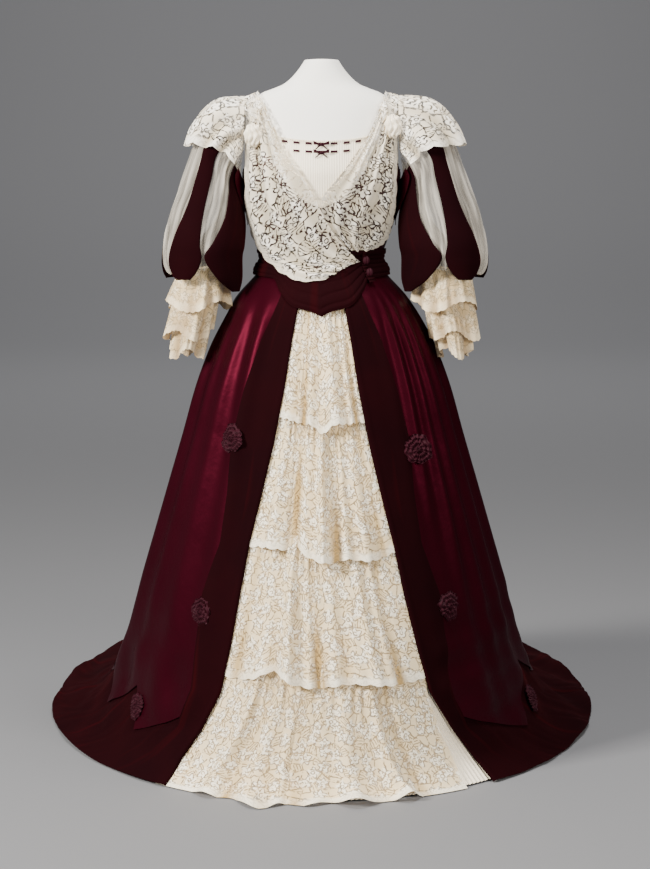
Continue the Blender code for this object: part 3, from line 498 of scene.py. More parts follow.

# %% [markdown]
# A piece of cloth is a grid of points. Its UV counts metres along the grid, so a pattern keeps its real
# size. The flat cut printed for a sheet is as wide and as long as the longest lines of its grid.

# %% Cloth from a grid of points
def mesh_piece(name, points, material, nodes, closed=False, hole=None, hem="down", painted_fold_shade=None):
    """A mesh through a grid of points (across, down, xyz). closed joins the last column to the first, and
    hole marks the cells left out. A second UV holds the distance to the hem, which is the end of the lines
    down, or of the lines across, and the painted shade of each point, deepest in the hollows of folds, from 0
    to 1."""
    points = np.asarray(points, float)
    painted_fold_shade = np.zeros(points.shape[:2]) if painted_fold_shade is None else np.broadcast_to(painted_fold_shade, points.shape[:2])
    if closed:
        points = np.concatenate([points, points[:1]])
        painted_fold_shade = np.concatenate([painted_fold_shade, painted_fold_shade[:1]])
    across, down = points.shape[:2]
    i, j = crossed(np.arange(across - 1), np.arange(down - 1))
    corner = i * down + j
    faces = np.stack([corner, corner + 1, corner + down + 1, corner + down], axis=-1)
    faces = faces[~hole] if hole is not None else faces.reshape(-1, 4)
    step_u = np.linalg.norm(np.diff(points, axis=0), axis=-1).mean(axis=1)
    step_v = np.linalg.norm(np.diff(points, axis=1), axis=-1).mean(axis=0)
    u = np.concatenate([[0], np.cumsum(step_u)])
    v = np.concatenate([[0], np.cumsum(step_v)])
    uv = np.stack(crossed(u, v), axis=-1).reshape(-1, 2)
    name = name.replace(" ", "_")
    mesh = bpy.data.meshes.new(name)
    mesh.vertices.add(across * down)
    mesh.vertices.foreach_set("co", points.reshape(-1))
    mesh.loops.add(faces.size)
    mesh.loops.foreach_set("vertex_index", faces.reshape(-1))
    mesh.polygons.add(len(faces))
    mesh.polygons.foreach_set("loop_start", np.arange(0, faces.size, 4))
    layer = mesh.uv_layers.new(name="cloth")
    layer.data.foreach_set("uv", uv[faces.reshape(-1)].reshape(-1))
    to_hem = v[-1] - uv[:, 1] if hem == "down" else u[-1] - uv[:, 0]
    # The second UV, named hem, carries the painted shade in its second coordinate.
    edge_layer = mesh.uv_layers.new(name="hem")
    hem_and_painted_shade = np.stack([to_hem, np.clip(painted_fold_shade, 0, 1).reshape(-1)], axis=-1)
    edge_layer.data.foreach_set("uv", hem_and_painted_shade[faces.reshape(-1)].reshape(-1))
    mesh.update(calc_edges=True)
    mesh.shade_smooth()
    mesh.materials.append(material)
    piece = bpy.data.objects.new(name, mesh)
    bpy.context.scene.collection.objects.link(piece)
    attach(piece, "root")
    if nodes:
        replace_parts(piece, *nodes)
    return piece


def cloth(name, points, material, nodes, closed=False, hole=None, hem="down",
          painted_fold_shade=None):
    """A piece that is a sheet of cloth. Its flat width and length are its longest lines across and down,
    and its flat area is the area of its faces."""
    piece = mesh_piece(name, points, material, nodes, closed, hole, hem, painted_fold_shade)
    round_trip = np.concatenate([points, points[:1]]) if closed else points
    width = np.linalg.norm(np.diff(round_trip, axis=0), axis=-1).sum(axis=0).max()
    length = np.linalg.norm(np.diff(points, axis=1), axis=-1).sum(axis=1).max()
    area = sum(polygon.area for polygon in piece.data.polygons)
    if area < .3 * width * length:
        width = area / (.35 * length)
    print(f"{name}: cut {width:.2f} x {length:.2f} m, {area:.3f} m2")
    return piece


# %% [markdown]
# The dress form is cream cloth over a smooth body, cut flat at the neck. It shows above the lace. Its
# pole and round base stand under the skirt.

# %% Dress form and stand
around = full_turn(120)
heights = steps(1.431, 1.031, 60)
a, b = crossed(around, level(heights))
upper = lifted(body, a, b, np.full(a.shape, -SATIN - CLEAR))
upper[..., 2] = np.minimum(upper[..., 2], 1.4315)
rim = upper[:, :1].copy()
middle = rim.mean(axis=0, keepdims=True)
cap = [middle + (rim - middle) * share + [0, 0, drop]
       for share, drop in ((0, .0005), (.3, .0005), (.7, .0005), (.93, .0005), (.985, .0003))]
HIPS = table("z half_width front back", (1.000, .119, .087, .092), (.950, .136, .094, .105),
             (.890, .147, .100, .115), (FORM_FOOT, .140, .098, .110), (FORM_FOOT, .0, .0, .0))
depth = np.where(np.cos(around)[:, None] > 0, HIPS["front"], HIPS["back"])
hips = grid(HIPS["half_width"] * np.sin(around)[:, None], -depth * np.cos(around)[:, None], HIPS["z"])
mesh_piece("form cover", np.concatenate([*cap, upper, hips], axis=1), form_cloth, ["dress_form"],
           closed=True)

steel, tree, shader = start_material("painted steel", Roughness=.35, Metallic=.6)
shader.inputs["Base Color"].default_value = colour("8C8A86")
for name, profile in (("pole", ((.0, .8195), (.012, .8195), (.0125, .818), (.0125, .0125), (.0, .0125))),
                      ("base", ((.0, .012), (.150, .012), (.158, .010), (.16, .006), (.16, .0), (.0, .0)))):
    line = np.array(profile)
    turn = np.linspace(0, 2 * np.pi, 48, endpoint=False)[:, None]
    points = grid(line[:, 0] * np.cos(turn), line[:, 0] * np.sin(turn), line[:, 1])
    mesh_piece("steel " + name, points, steel, ["stand_" + name], closed=True)

# %% [markdown]
# The bodice is close-fitting satin with its neck and armholes open. Shaping seams run down it as fine
# grooves. The sleeves' heads cover the armholes' edges.

# %% Bodice and chemisette
NECKLINE = table("angle z", (0, 1.140), (15, 1.160), (30, 1.206), (45, 1.264), (60, 1.338), (90, 1.354),
                 (120, 1.345), (140, 1.310), (160, 1.288), (180, 1.282))


def neckline(angle):
    """Height of the bodice's upper edge."""
    return smooth(np.abs(np.degrees(turned(angle))), NECKLINE["angle"], NECKLINE["z"])


around = np.linspace(-np.pi, np.pi, finer(240), endpoint=False)
share = steps(0, 1, 50)
z = blend(neckline(around)[:, None], WAIST - .004, share[None, :])
a = np.repeat(around[:, None], len(share), axis=1)
degrees = np.degrees(np.abs(turned(a)))
grooves = sum(bell(degrees, seam + 26 * (z - WAIST) * toward, .9)
              for seam, toward in ((24, .6), (52, .5), (93, 0), (128, .4), (156, .3), (180, 0)))
pulls = .0012 * waves(a * .14, z, .06, 3) * ramp(degrees, 60, 80)
arm = ((degrees - 90) / 27) ** 2 + ((z - 1.271) / .060) ** 2 < 1
cloth("bodice satin", lifted(body, a, level(z), pulls - .0009 * grooves), satin, ["bodice"],
      closed=True, hole=arm[:, :-1])

columns = np.radians(steps(-35, 35, 200))
top = 1.268 + .010 * (columns / columns[-1]) ** 2
z = blend(top[:, None], neckline(columns)[:, None] - .004, steps(0, 1, 44)[None, :])
a = np.repeat(columns[:, None], z.shape[1], axis=1)
gathers = .0009 * (.5 + .5 * np.sin(a * 210 + 2 * waves(a, z, .2, 8)))
gathers = gathers * ramp(z, neckline(a) - .004, neckline(a) + .02)
frill = .0020 * bell(z, top[:, None] - .002, .003) * (1 + np.sin(a * 260))
cloth("chemisette silk", lifted(body, a, level(z), gathers + frill), silk, ["chemisette"])

# %% [markdown]
# A narrow ribbon is threaded through the chemisette twice. It shows as dashes where it runs outside,
# and each row is tied in a small bow at the middle.

# %% Threaded ribbons and bows
DASH = .0176
for name, half_angle, middle_z in (("upper", 30, 1.262), ("lower", 22, 1.246)):
    columns = np.radians(steps(-half_angle, half_angle, 240))
    line = middle_z + .008 * (columns / np.radians(35)) ** 2
    z = line[:, None] + np.linspace(.0022, -.0022, 4)[None, :]
    a = np.repeat(columns[:, None], 4, axis=1)
    weave = np.clip(3.0 * np.cos(a * .112 * 2 * np.pi / DASH) + .4, -1, 1)
    mesh_piece(f"{name} ribbon", lifted(body, a, level(z), .0004 + .0021 * weave), ribbon, ["ribbon_" + name])
    low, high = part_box("bow_" + name)
    centre = np.array([(low[0] + high[0]) / 2, high[1] - .001, (low[2] + high[2]) / 2])
    t, w = crossed(np.linspace(0, 1, 33), np.linspace(-1, 1, 5))
    for side, hand in ((-1, "right"), (1, "left")):
        swell = np.sin(np.pi * t)
        loop = grid(side * .0155 * swell, -.0022 - .0022 * np.sin(2 * np.pi * t),
                    .0035 * swell + w * (.0010 + .0028 * swell))
        mesh_piece(f"{name} bow loop {hand}", centre + loop, ribbon, [])
        tail = grid(side * (.001 + .011 * t), -.0015 - .001 * np.sin(3 * t),
                    -.010 * t + w * .0024 * (1 - .5 * t))
        mesh_piece(f"{name} bow tail {hand}", centre + tail, ribbon, [])
    t, w = crossed(np.linspace(0, 2 * np.pi, 16, endpoint=False), np.linspace(0, np.pi, 9))
    ball = grid(.0030 * np.cos(t) * np.sin(w), -.0022 + .0022 * np.sin(t) * np.sin(w), .0034 * np.cos(w))
    mesh_piece(f"{name} bow knot", centre + ball, ribbon, ["bow_" + name], closed=True)

# %% [markdown]
# Two lace fronts cross over the bodice, the wearer's right one on top. Long folds run down from the
# gathered knots at the shoulders, and the outer edges are scalloped.

# %% Crossed lace fronts, lace collar and knots
FRONT_LEFT = table("inner_x inner_z outer_x outer_z lift",
    (-.1255, 1.365, -.1480, 1.344, .0032),
    (-.1030, 1.325, -.1400, 1.310, .0040),
    (-.0820, 1.280, -.1420, 1.275, .0050),
    (-.0640, 1.238, -.1450, 1.225, .0060),
    (-.0420, 1.208, -.1450, 1.150, .0068),
    (-.0200, 1.172, -.1340, 1.092, .0082),
    (-.0060, 1.145, -.1130, 1.050, .0092),
    (.0200, 1.095, -.0760, 1.006, .0092),
    (.0480, 1.058, -.0340, .988, .0086),
    (.0710, 1.030, .0080, .992, .0080))
FRONT_RIGHT = table("inner_x inner_z outer_x outer_z lift",
    (.1260, 1.365, .1480, 1.344, .0032),
    (.1100, 1.325, .1420, 1.310, .0040),
    (.0900, 1.280, .1440, 1.268, .0042),
    (.0680, 1.245, .1460, 1.225, .0038),
    (.0460, 1.213, .1460, 1.170, .0026),
    (.0200, 1.182, .1400, 1.112, .0024),
    (.0010, 1.155, .1330, 1.084, .0024),
    (.0000, 1.120, .1180, 1.064, .0024),
    (.0200, 1.085, .1020, 1.054, .0024),
    (.0480, 1.056, .0880, 1.046, .0024))
for name, node, rows, fold_depth, seed in (("crossed lace right", "lace_front_right", FRONT_LEFT, .0062, 1),
                                           ("crossed lace left", "lace_front_left", FRONT_RIGHT, .0034, 2)):
    stations = np.arange(len(rows["lift"]), dtype=float)
    along, across = np.meshgrid(steps(0, stations[-1], 180), steps(0, 1, 90), indexing="xy")
    inner_x, inner_z, outer_x, outer_z, lift = (smooth(along, stations, rows[key]) for key in rows)
    scallop = .022 * np.abs(np.sin(along * 5.2)) * ramp(along, 0, 1)
    reach = across * (1 + scallop)
    x, z = blend(inner_x, outer_x, reach), blend(inner_z, outer_z, reach)
    row = level(z)
    wander = .05 * waves(along * .2, across, 1.2, seed)
    broad = .5 + .5 * np.cos(2 * np.pi * 3.4 * (across + wander) + 1)
    long_folds = fold_depth * broad ** 1.6 * ramp(along, 0, 2)
    fine_folds = .0022 * np.cos(2 * np.pi * 9 * (across + wander))
    fine_folds = fine_folds * (1 - ramp(along, 1, 6)) * ramp(along, 0, .6)
    soft = .0010 * waves(x, z, .04, seed + 4)
    points = lifted(body, angle_at(x, row), row, lift + long_folds + fine_folds + soft * ramp(across, 0, .1))
    # Painted shade: the hollows of the long and the fine folds are darkened.
    painted_fold_shade = 1 - long_folds / fold_depth - 90 * fine_folds
    cloth(name, points, bertha_lace, [node], hem="across",
          painted_fold_shade=.55 * painted_fold_shade * ramp(along, 0, 1.5))

around = np.radians(steps(91.5, 268.5, 200))
behind = np.degrees(np.abs(turned(around)))
top = smooth(behind, np.array([90., 120, 150, 180]), np.array([1.362, 1.340, 1.302, 1.290]))
bottom = smooth(behind, np.array([90., 112, 130, 150, 180]), np.array([1.344, 1.325, 1.245, 1.185, 1.165]))
share = steps(0, 1, 44)[None, :]
z = blend(top[:, None], (bottom - .005 * np.abs(np.sin(around * 16)))[:, None], share)
a = np.repeat(around[:, None], z.shape[1], axis=1)
fold = .0022 * (.5 - .5 * np.cos(2 * np.pi * 3 * share)) * ramp(behind, 90, 110)[:, None]
cloth("lace collar", lifted(body, a, level(z), .0021 + fold + .0006 * waves(a * .15, z, .03, 5)), bertha_lace,
      ["lace_back"])

t, w = crossed(np.linspace(0, 2 * np.pi, 120, endpoint=False), np.linspace(0, np.pi, 40))
for hand in ("right", "left"):
    low, high = (np.array(corner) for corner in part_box("lace_knot_" + hand))
    pleat = 1.55 + .26 * np.cos(t * 9 + 2.5 * np.sin(w * 3)) * np.sin(w) + .10 * np.cos(w * 9 + t * 2)
    ball = grid(np.cos(t) * np.sin(w), np.sin(t) * np.sin(w), np.cos(w))
    mesh_piece("gathered knot " + hand, (low + high) / 2 + ball * (high - low) / 2 * pleat[..., None], silk,
               ["lace_knot_" + hand], closed=True)

# %% [markdown]
# Each sleeve is a sheer puff from the armhole to the elbow, under four velvet strips that are tied above
# the elbow and end in lobes. Gathered lace stands out over its head, and three lace flounces hang below.

# %% Sleeves
SLEEVE = table("outer_x outer_z inner_x inner_z depth y",
    (.1506, 1.338, .1640, 1.205, .056, .004),
    (.200, 1.330, .1660, 1.185, .062, .002),
    (.240, 1.290, .1655, 1.160, .066, -.002),
    (.258, 1.240, .1615, 1.135, .067, -.006),
    (.277, 1.180, .1585, 1.110, .069, -.012),
    (.298, 1.130, .1585, 1.085, .073, -.018),
    (.312, 1.080, .162, 1.060, .077, -.024),
    (.316, 1.035, .166, 1.040, .076, -.028),
    (.304, 1.004, .180, 1.024, .064, -.030),
    (.2865, 1.010, .1905, 1.022, .050, -.030))
STRIPS = table("from_0 to_0 from_1 to_1 from_2 to_2 from_3 to_3 from_4 to_4 drop",
    (10, 38, 8, 36, -3, 50, 4, 44, 14, 34, .042),
    (-80, -30, -88, -26, -98, -7, -88, -26, -70, -52, .068),
    (112, 142, 112, 142, 98, 150, 104, 144, 116, 134, .042),
    (190, 226, 190, 226, 155, 254, 168, 240, 192, 212, .055))
FLOUNCES = table("bottom centre_x radius_x radius_y wave",
    (.942, .2500, .060, .066, .007),
    (.883, .2690, .043, .056, .005),
    (.846, .2710, .030, .043, .003))
STRIP_RINGS = np.array([1, 2, 3, 4.5, 6, 7])
PUFFS = table("middle half", (73, 26), (-12, 8), (165, 16), (240, 9))


def sleeve(side):
    """The sleeve's tube. Each ring is an ellipse between its outer and its inner end. The angle is 0 in
    front and 90 degrees on the outer side."""
    wider = 1.05 if side > 0 else 1.0
    rings = np.arange(len(SLEEVE["y"]), dtype=float)

    def surface(angle, ring):
        outer_x, outer_z, inner_x, inner_z, depth, y = (smooth(ring, rings, SLEEVE[name]) for name in SLEEVE)
        across = outer_x * blend(1, wider, ramp(ring, 0, 2)) - inner_x
        x = inner_x + across * (.5 + .5 * np.sin(angle))
        z = inner_z + (outer_z - inner_z) * (.5 + .5 * np.sin(angle))
        return grid(side * x, y - depth * np.cos(angle), z)
    return surface


def flounce_points(side, number, angle, share):
    """A lace flounce: a ring that widens from the sleeve's lower edge and waves more towards its hem."""
    ring = sleeve(side)(np.linspace(0, 2 * np.pi, 90), np.full(90, len(SLEEVE["y"]) - 1.0))
    start = np.mean(ring[:-1], axis=0)
    half_x, half_y = np.ptp(ring[:, 0]) / 2, np.ptp(ring[:, 1]) / 2
    bottom, centre_x, radius_x, radius_y, wave = (column[number - 1] for column in FLOUNCES.values())
    nested = .0006 + (number - 1) * .0015
    upper_z = sleeve(side)(angle, np.full(angle.shape, len(SLEEVE["y"]) - 1.0))[..., 2] - .0006
    low = bottom - .011 * np.sin(angle * 3 + number * 2 + side) - .0022 * np.abs(np.sin(angle * 16))
    ripple = wave * (.5 + .5 * np.cos(angle * 5))
    ripple = ripple + .0060 * np.cos(angle * 7 + 2.2 * np.sin(angle * 2 + number))
    ripple = ripple + .0020 * np.cos(angle * 19 + 2 * np.sin(angle * 3)) * (1 - .5 * share)
    reach_x = blend(half_x - nested, radius_x, share ** .8) + ripple * share
    reach_y = blend(half_y - nested, radius_y, share ** .8) + ripple * share
    x = blend(start[0], side * centre_x, share) + side * reach_x * np.sin(angle)
    return grid(x, start[1] - reach_y * np.cos(angle), blend(upper_z, low, share))


for side, hand in ((-1, "right"), (1, "left")):
    surface = sleeve(side)
    around = full_turn(180)
    a, b = crossed(around, steps(0, 9, 68))
    near = [np.degrees(turned(a - np.radians(m))) / h for m, h in zip(*PUFFS.values())]
    puff = np.max([np.clip(1 - n ** 2, 0, 1) for n in near], axis=0)
    swell = .005 * puff * ramp(b, .5, 3) * (1 - ramp(b, 4.6, 6))
    crinkle = .0050 * waves(a * .9, b * .05, .17, 11 + side) + .0028 * waves(a * 1.6, b * .09, .10, 13)
    gathers = crinkle + .0011 * np.sin(a * 44 + 1.5 * np.sin(b + a * 3)) * (1 - .6 * bell(b, 4.5, 2))
    gathers = gathers * ramp(b, 0, .6) * (1 - ramp(b, 8.2, 9))
    gauze_name = f"gauze sleeve {hand}"
    # Painted shade: the gauze is darkened a little all over and more in the hollows of its crinkles.
    cloth(gauze_name, lifted(surface, a, b, swell + gathers, side), gauze, ["sleeve_" + hand],
          closed=True, painted_fold_shade=.35 - 130 * crinkle)

    for number in range(1, 5):
        edges = np.array([column[number - 1] for column in STRIPS.values()])
        drop, edges = edges[10], edges[:10].reshape(5, 2)
        across = steps(0, 1, 26)[:, None]
        stops = np.array([1, 4.5, 7])
        low, high = (smooth(STRIP_RINGS, stops, edges[:3, k]) for k in (0, 1))
        a = np.radians(blend(low[None, :], high[None, :], across))
        b = np.repeat(STRIP_RINGS[None, :], len(across), axis=0)
        pillow = .0030 * np.sin(np.pi * across) ** .6
        out = np.array([.0020, .0038, .0042, .0044, .0050, .0050])[None, :] + pillow
        points = lifted(surface, a, b, out, side)
        for k, fall in ((3, .62), (4, 1.0)):
            a_lobe = np.radians(blend(edges[k, 0], edges[k, 1], across))
            lobe = lifted(surface, a_lobe, np.full(a_lobe.shape, 7.0), .0055 + pillow, side)
            points = np.concatenate([points, lobe + np.array([0, 0, -drop * fall])], axis=1)
        points = resample(points, finer(80))
        piece = cloth(f"velvet strip {hand} {number}", points, velvet, [f"sleeve_{hand}_strip_{number}"])
        wall = piece.modifiers.new("Thickness", "SOLIDIFY")
        wall.thickness = .0016
        wall.offset = -1

    columns = np.radians(steps(-18, 198, 220))
    over = np.clip(np.sin(columns), 0, 1)[:, None]
    share = steps(.0, 1, 44)[None, :]
    scalloped = 1 + .05 * np.abs(np.sin(columns * 8 + .6 * np.sin(columns * 5)))[:, None] * share
    a = np.repeat(columns[:, None], share.shape[1], axis=1)
    b = blend(1.45, 2.65, over) * share * scalloped
    stops = np.array([0, .12, .38, .7, 1])
    stand = np.interp(share, stops, [.0030, .0030, .0048, .0060, .0075])
    stand = stand + over * np.interp(share, stops, [.016, .015, .011, .005, .002])
    fold = (.5 - .5 * np.cos(columns * 9 + 1.4 * np.sin(columns * 4 + side)))[:, None] ** .7
    # Painted shade: the hollows of the folds are darkened, more towards the outer edge.
    painted_fold_shade = .75 * (1 - fold) * np.interp(share, stops, [.3, .5, .8, 1, 1])
    fold = fold * np.interp(share, stops, [.002, .006, .011, .014, .017])
    out = stand + fold + .0012 * waves(a * .1, b * .04, .03, 6)
    cloth(f"lace cap {hand}", lifted(surface, a, b, out, side), bertha_lace, ["shoulder_frill_" + hand],
          painted_fold_shade=painted_fold_shade)

    a, share = crossed(np.radians(steps(48, 132, 160)), steps(0, 1, 40))
    puff_out = .0035 + .014 * np.sin(np.pi * share) * (.62 + .38 * np.cos(a * 26 + 2 * np.sin(a * 7 + side)))
    z = blend(1.361, 1.325, share) - .045 * np.abs(np.degrees(a) / 90 - 1) + .003 * np.cos(a * 19)
    cloth(f"shoulder ruffle {hand}", lifted(body, side * a, level(z), puff_out), bertha_lace, [])

    outer = np.array([-34, -34, -44, -58, -74, -94])
    a = np.radians(blend(-104, outer[None, :], np.linspace(0, 1, 24)[:, None]))
    b = np.repeat(np.linspace(1.0, 4.4, 6)[None, :], 24, axis=0)
    gusset = resample(lifted(surface, a, b, .0108 + .0006 * waves(a, b, .5, 3), side), 60)
    cloth(f"satin gusset {hand}", gusset, satin, [])

    for number in (1, 2, 3):
        around = full_turn(220)
        a, share = crossed(around, steps(0, 1, 30))
        # Painted shade: the hollows of the ruffles are darkened, more towards the hem.
        painted_fold_shade = .7 * share * (.5 - .5 * np.cos(a * 7 + 2.2 * np.sin(a * 2 + number)))
        cloth(f"lace cuff {hand} {number}", flounce_points(side, number, a, share), plain_lace,
              [f"cuff_{hand}_{number}"], closed=True, painted_fold_shade=painted_fold_shade)

# %% [markdown]
# The belt is a velvet sash draped in soft folds, which drops to a point in front. A ruched velvet strip
# with two small knots closes it on the wearer's left.

# %% Belt
BELT_EDGE = table("x z", (0, .924), (.012, .932), (.045, .943), (.075, .970), (.105, .995), (.20, 1.000))
CLOSURE_ANGLE = 42.5
around = full_turn(220)
share = steps(0, 1, 70)[None, :]
x = .150 * np.abs(np.sin(around))
bottom = np.where(np.cos(around) > 0, smooth(x, BELT_EDGE["x"], BELT_EDGE["z"]), 1.0)
z = blend(1.054, bottom[:, None], share)
a = np.repeat(around[:, None], share.shape[1], axis=1)
drape = share * 5.5 + .35 * waves(a * .2, share, .5, 21)
fold = .0046 * (drape % 1) ** .6 * (1 - drape % 1) ** .35 * ramp(share, 0, .06) * (1 - ramp(share, .94, 1))
hollow = .0055 * (1 - ramp(np.cos(a), .2, .8)) * bell(z, 1.015, .014)
cloth("velvet belt", lifted(body, a, level(z), .0040 + fold + hollow), velvet, ["belt"],
      closed=True)

share, across = np.meshgrid(steps(0, 1, 120), np.linspace(-1, 1, 17), indexing="xy")
z = blend(1.052, .985, share) + .0012 * np.sin(share * 70) * across
a = np.radians(CLOSURE_ANGLE + 3.6 * across)
pucker = .0085 + .0030 * np.sqrt(1 - .98 * across ** 2) + .0011 * np.sin(2 * np.pi * 11 * share + across)
mesh_piece("ruched closure", lifted(body, a, level(z), pucker), velvet, ["belt_closure"])
t, w = crossed(np.linspace(0, 2 * np.pi, 48, endpoint=False), np.linspace(0, np.pi, 17))
for name, knot_z in (("upper", 1.034), ("lower", 1.002)):
    centre = lifted(body, np.radians(CLOSURE_ANGLE), level(knot_z), .0135)
    pleat = 1 + .15 * np.cos(t * 7)
    ball = grid(.0060 * np.cos(t) * np.sin(w), .0040 * np.sin(t) * np.sin(w), .0075 * np.cos(w))
    mesh_piece(f"closure knot {name}", centre + ball * pleat[..., None], ribbon, [], closed=True)

# %% [markdown]
# The overskirt is satin with a wide velvet border down each side of the front opening and round the
# hem. Its lower edge is cut in points that lie on the velvet. It falls in long folds from the waist and
# breaks into soft creases where it meets the floor.

# %% Overskirt
def creases(angle, row, seed):
    """Small uneven relief: long soft waves down the skirt, and diagonal breaks near the floor."""
    z = height(row)
    width = smooth(row, ROW_NUMBERS, BODY["half_width"])
    long_waves = .0048 * waves(angle * 1.3, z * .12, .30, seed) * ramp(-z, -1.0, -.9)
    near_floor = ramp(-z, -.42, -.16)
    breaks = .0075 * waves(angle * width, z * 1.4, .13, seed + 1) * near_floor * ramp(z, .01, .06)
    return long_waves + breaks


def settle(points, least=.0012):
    """Cloth that reaches the floor lies on it."""
    points[..., 2] = np.maximum(points[..., 2], least)
    return points


top_row = float(level(WAIST + .006))
for side, hand, opening, points_table in ((-1, "right", "open_left", POINTS_LEFT),
                                          (1, "left", "open_right", POINTS_RIGHT)):
    column = steps(0, COLUMNS, 150)
    low = np.interp(column, points_table["column"], level(points_table["z"]))
    rows = blend(top_row, low[:, None], steps(0, 1, 120)[None, :])
    angle = blend(angle_at(edge("border", rows), rows), SIDE_SEAM, (column / COLUMNS)[:, None])
    over_hem = .0022 * ramp(rows, low[:, None] - 1.2, low[:, None])
    satin_points = lifted(skirt, side * angle, rows, .0002 + over_hem + creases(angle, rows, 31 + side))
    cloth(f"side satin {hand}", settle(satin_points), satin, ["satin_side_" + hand])

    b = np.repeat(steps(top_row, HEM_ROW, 190)[None, :], finer(32), axis=0)
    share = steps(-.10, 1.02, 32)[:, None]
    inner, outer = angle_at(edge(opening, b), b), angle_at(edge("border", b), b)
    angle = blend(inner, outer, np.maximum(share, 0))
    out = .0016 + .0012 * bell(share, .08, .06) - .06 * np.maximum(-share, 0)
    out = out + creases(angle, b, 31 + side) * ramp(share, .1, .9)
    cloth(f"velvet front border {hand}", settle(lifted(skirt, side * angle, b, out)), velvet,
          ["front_border_" + hand])

    behind = steps(0, COLUMNS, 150)[1:]
    train_low = np.interp(behind, POINTS_TRAIN["column"], level(POINTS_TRAIN["z"]))
    hem_low = np.concatenate([low, train_low]) - .22
    b = blend(hem_low[:, None], HEM_ROW, steps(0, 1, 40)[None, :])
    front = angle_at(edge("border", b[:len(low)]), b[:len(low)])
    front = blend(front, SIDE_SEAM, (column / COLUMNS)[:, None])
    back = SIDE_SEAM + (np.pi - SIDE_SEAM) * behind / COLUMNS
    angle = np.concatenate([front, np.repeat(back[:, None], b.shape[1], axis=1)])
    radial = .0042 * waves(angle * 5, b * .12, .55, 9) * ramp(b, HEM_ROW - 5, HEM_ROW - 1)
    under = -.0018 * (1 - ramp(b, hem_low[:, None] + .25, hem_low[:, None] + .6))
    points = lifted(skirt, side * angle, b, under + np.abs(radial) + .8 * creases(angle, b, 31 + side))
    cloth(f"velvet hem {hand}", settle(points), velvet, ["hem_border_" + hand])

columns = steps(0, 2 * COLUMNS, 260)
low = np.interp(np.minimum(columns, 2 * COLUMNS - columns), POINTS_TRAIN["column"], level(POINTS_TRAIN["z"]))
b = blend(top_row, low[:, None], steps(0, 1, 130)[None, :])
angle = SIDE_SEAM + (2 * np.pi - 2 * SIDE_SEAM) * columns / (2 * COLUMNS)
a = np.repeat(angle[:, None], b.shape[1], axis=1)
out = .0002 + .0022 * ramp(b, low[:, None] - 1.2, low[:, None])
out = out + creases(a, b, 37) * ramp(np.abs(turned(a)), 1.66, 1.9)
cloth("train satin", settle(lifted(skirt, a, b, out)), satin, ["satin_train"])

# %% [markdown]
# The underskirt shows in the front opening: four gathered lace tiers, each under the scalloped edge of
# the one above, over a plain cream skirt with a finely pleated flounce. Where the lace covers it the skirt
# is painted tan as shade, and low down a strip of it hangs in front of the flounce, behind the lowest tier,
# as painted shade.

# %% Underskirt
TIERS = table("top bottom folds depth inset",
    (.985, .715, 7, .006, .0075),
    (.745, .470, 7, .008, .0070),
    (.505, .222, 8, .009, .0070),
    (.262, .004, 8, .009, .0070))
TIER_DROPS = table("tier across width drop",
    (1, .12, .16, -.013),
    (1, .51, .06, .018),
    (1, .85, .10, -.004),
    (2, .14, .16, -.008),
    (2, .345, .035, -.018),
    (2, .52, .10, .020),
    (2, .76, .14, .018),
    (3, .28, .06, -.020),
    (3, .46, .09, .010),
    (3, .80, .16, .010),
    (3, .99, .03, -.016))
TIER_FOLDS = table("tier across slant width depth",
    (1, .33, .04, .028, -.0070),
    (1, .14, -.03, .060, .0040),
    (1, .60, .03, .050, .0040),
    (1, .80, .04, .028, -.0060),
    (2, .20, -.02, .045, .0050),
    (2, .33, .02, .030, -.0080),
    (2, .50, .00, .035, .0070),
    (2, .61, -.05, .024, -.0060),
    (2, .84, .05, .030, -.0060),
    (3, .12, -.04, .030, -.0060),
    (3, .34, .03, .040, .0060),
    (3, .46, .04, .022, -.0060),
    (3, .70, .03, .030, .0050),
    (3, .81, .04, .024, -.0070),
    (4, .20, -.06, .030, .0080),
    (4, .27, -.06, .022, -.0070),
    (4, .44, .02, .020, -.0060),
    (4, .62, .03, .040, .0060),
    (4, .76, .08, .026, .0080),
    (4, .83, .08, .020, -.0060))


def between_edges(share, rows, right="open_right", tuck=.022):
    """Angles across the front opening, from under one velvet border to under the other."""
    low = -angle_at(edge("open_left", rows) + tuck, rows)
    high = angle_at(edge(right, rows) + (0 if right == "lace_right" else tuck), rows)
    return blend(low, high, share)


# Painted shade: the panel is the cream underskirt painted tan. Below .30 m it narrows to the lowest lace tier
# and hangs in front of the pleats, a sheet of painted shade seen through the lace.
share, rows = crossed(steps(0, 1, 60), steps(float(level(.990)), float(level(.014)), 80))
low = ramp(rows, float(level(.300)), float(level(.262)))
narrow = np.where(low > 0, between_edges(.02 + .965 * share, rows, "lace_right"), 0)
across = blend(between_edges(share, rows), narrow, low)
cloth("underskirt panel", settle(lifted(body, across, rows, np.full(share.shape, -.0085))), shaded_silk,
      ["underskirt_front"])
share, rows = crossed(steps(0, 1, 600), steps(float(level(.262)), float(level(.012)), 16))
pleats = .0032 * np.abs((share * 75) % 1 * 2 - 1) * ramp(rows, rows[0, 0], rows[0, 0] + 1.5)
cloth("silk pleats", settle(lifted(body, between_edges(share, rows), rows, -.0125 + pleats), .002), silk,
      ["pleated_flounce"])

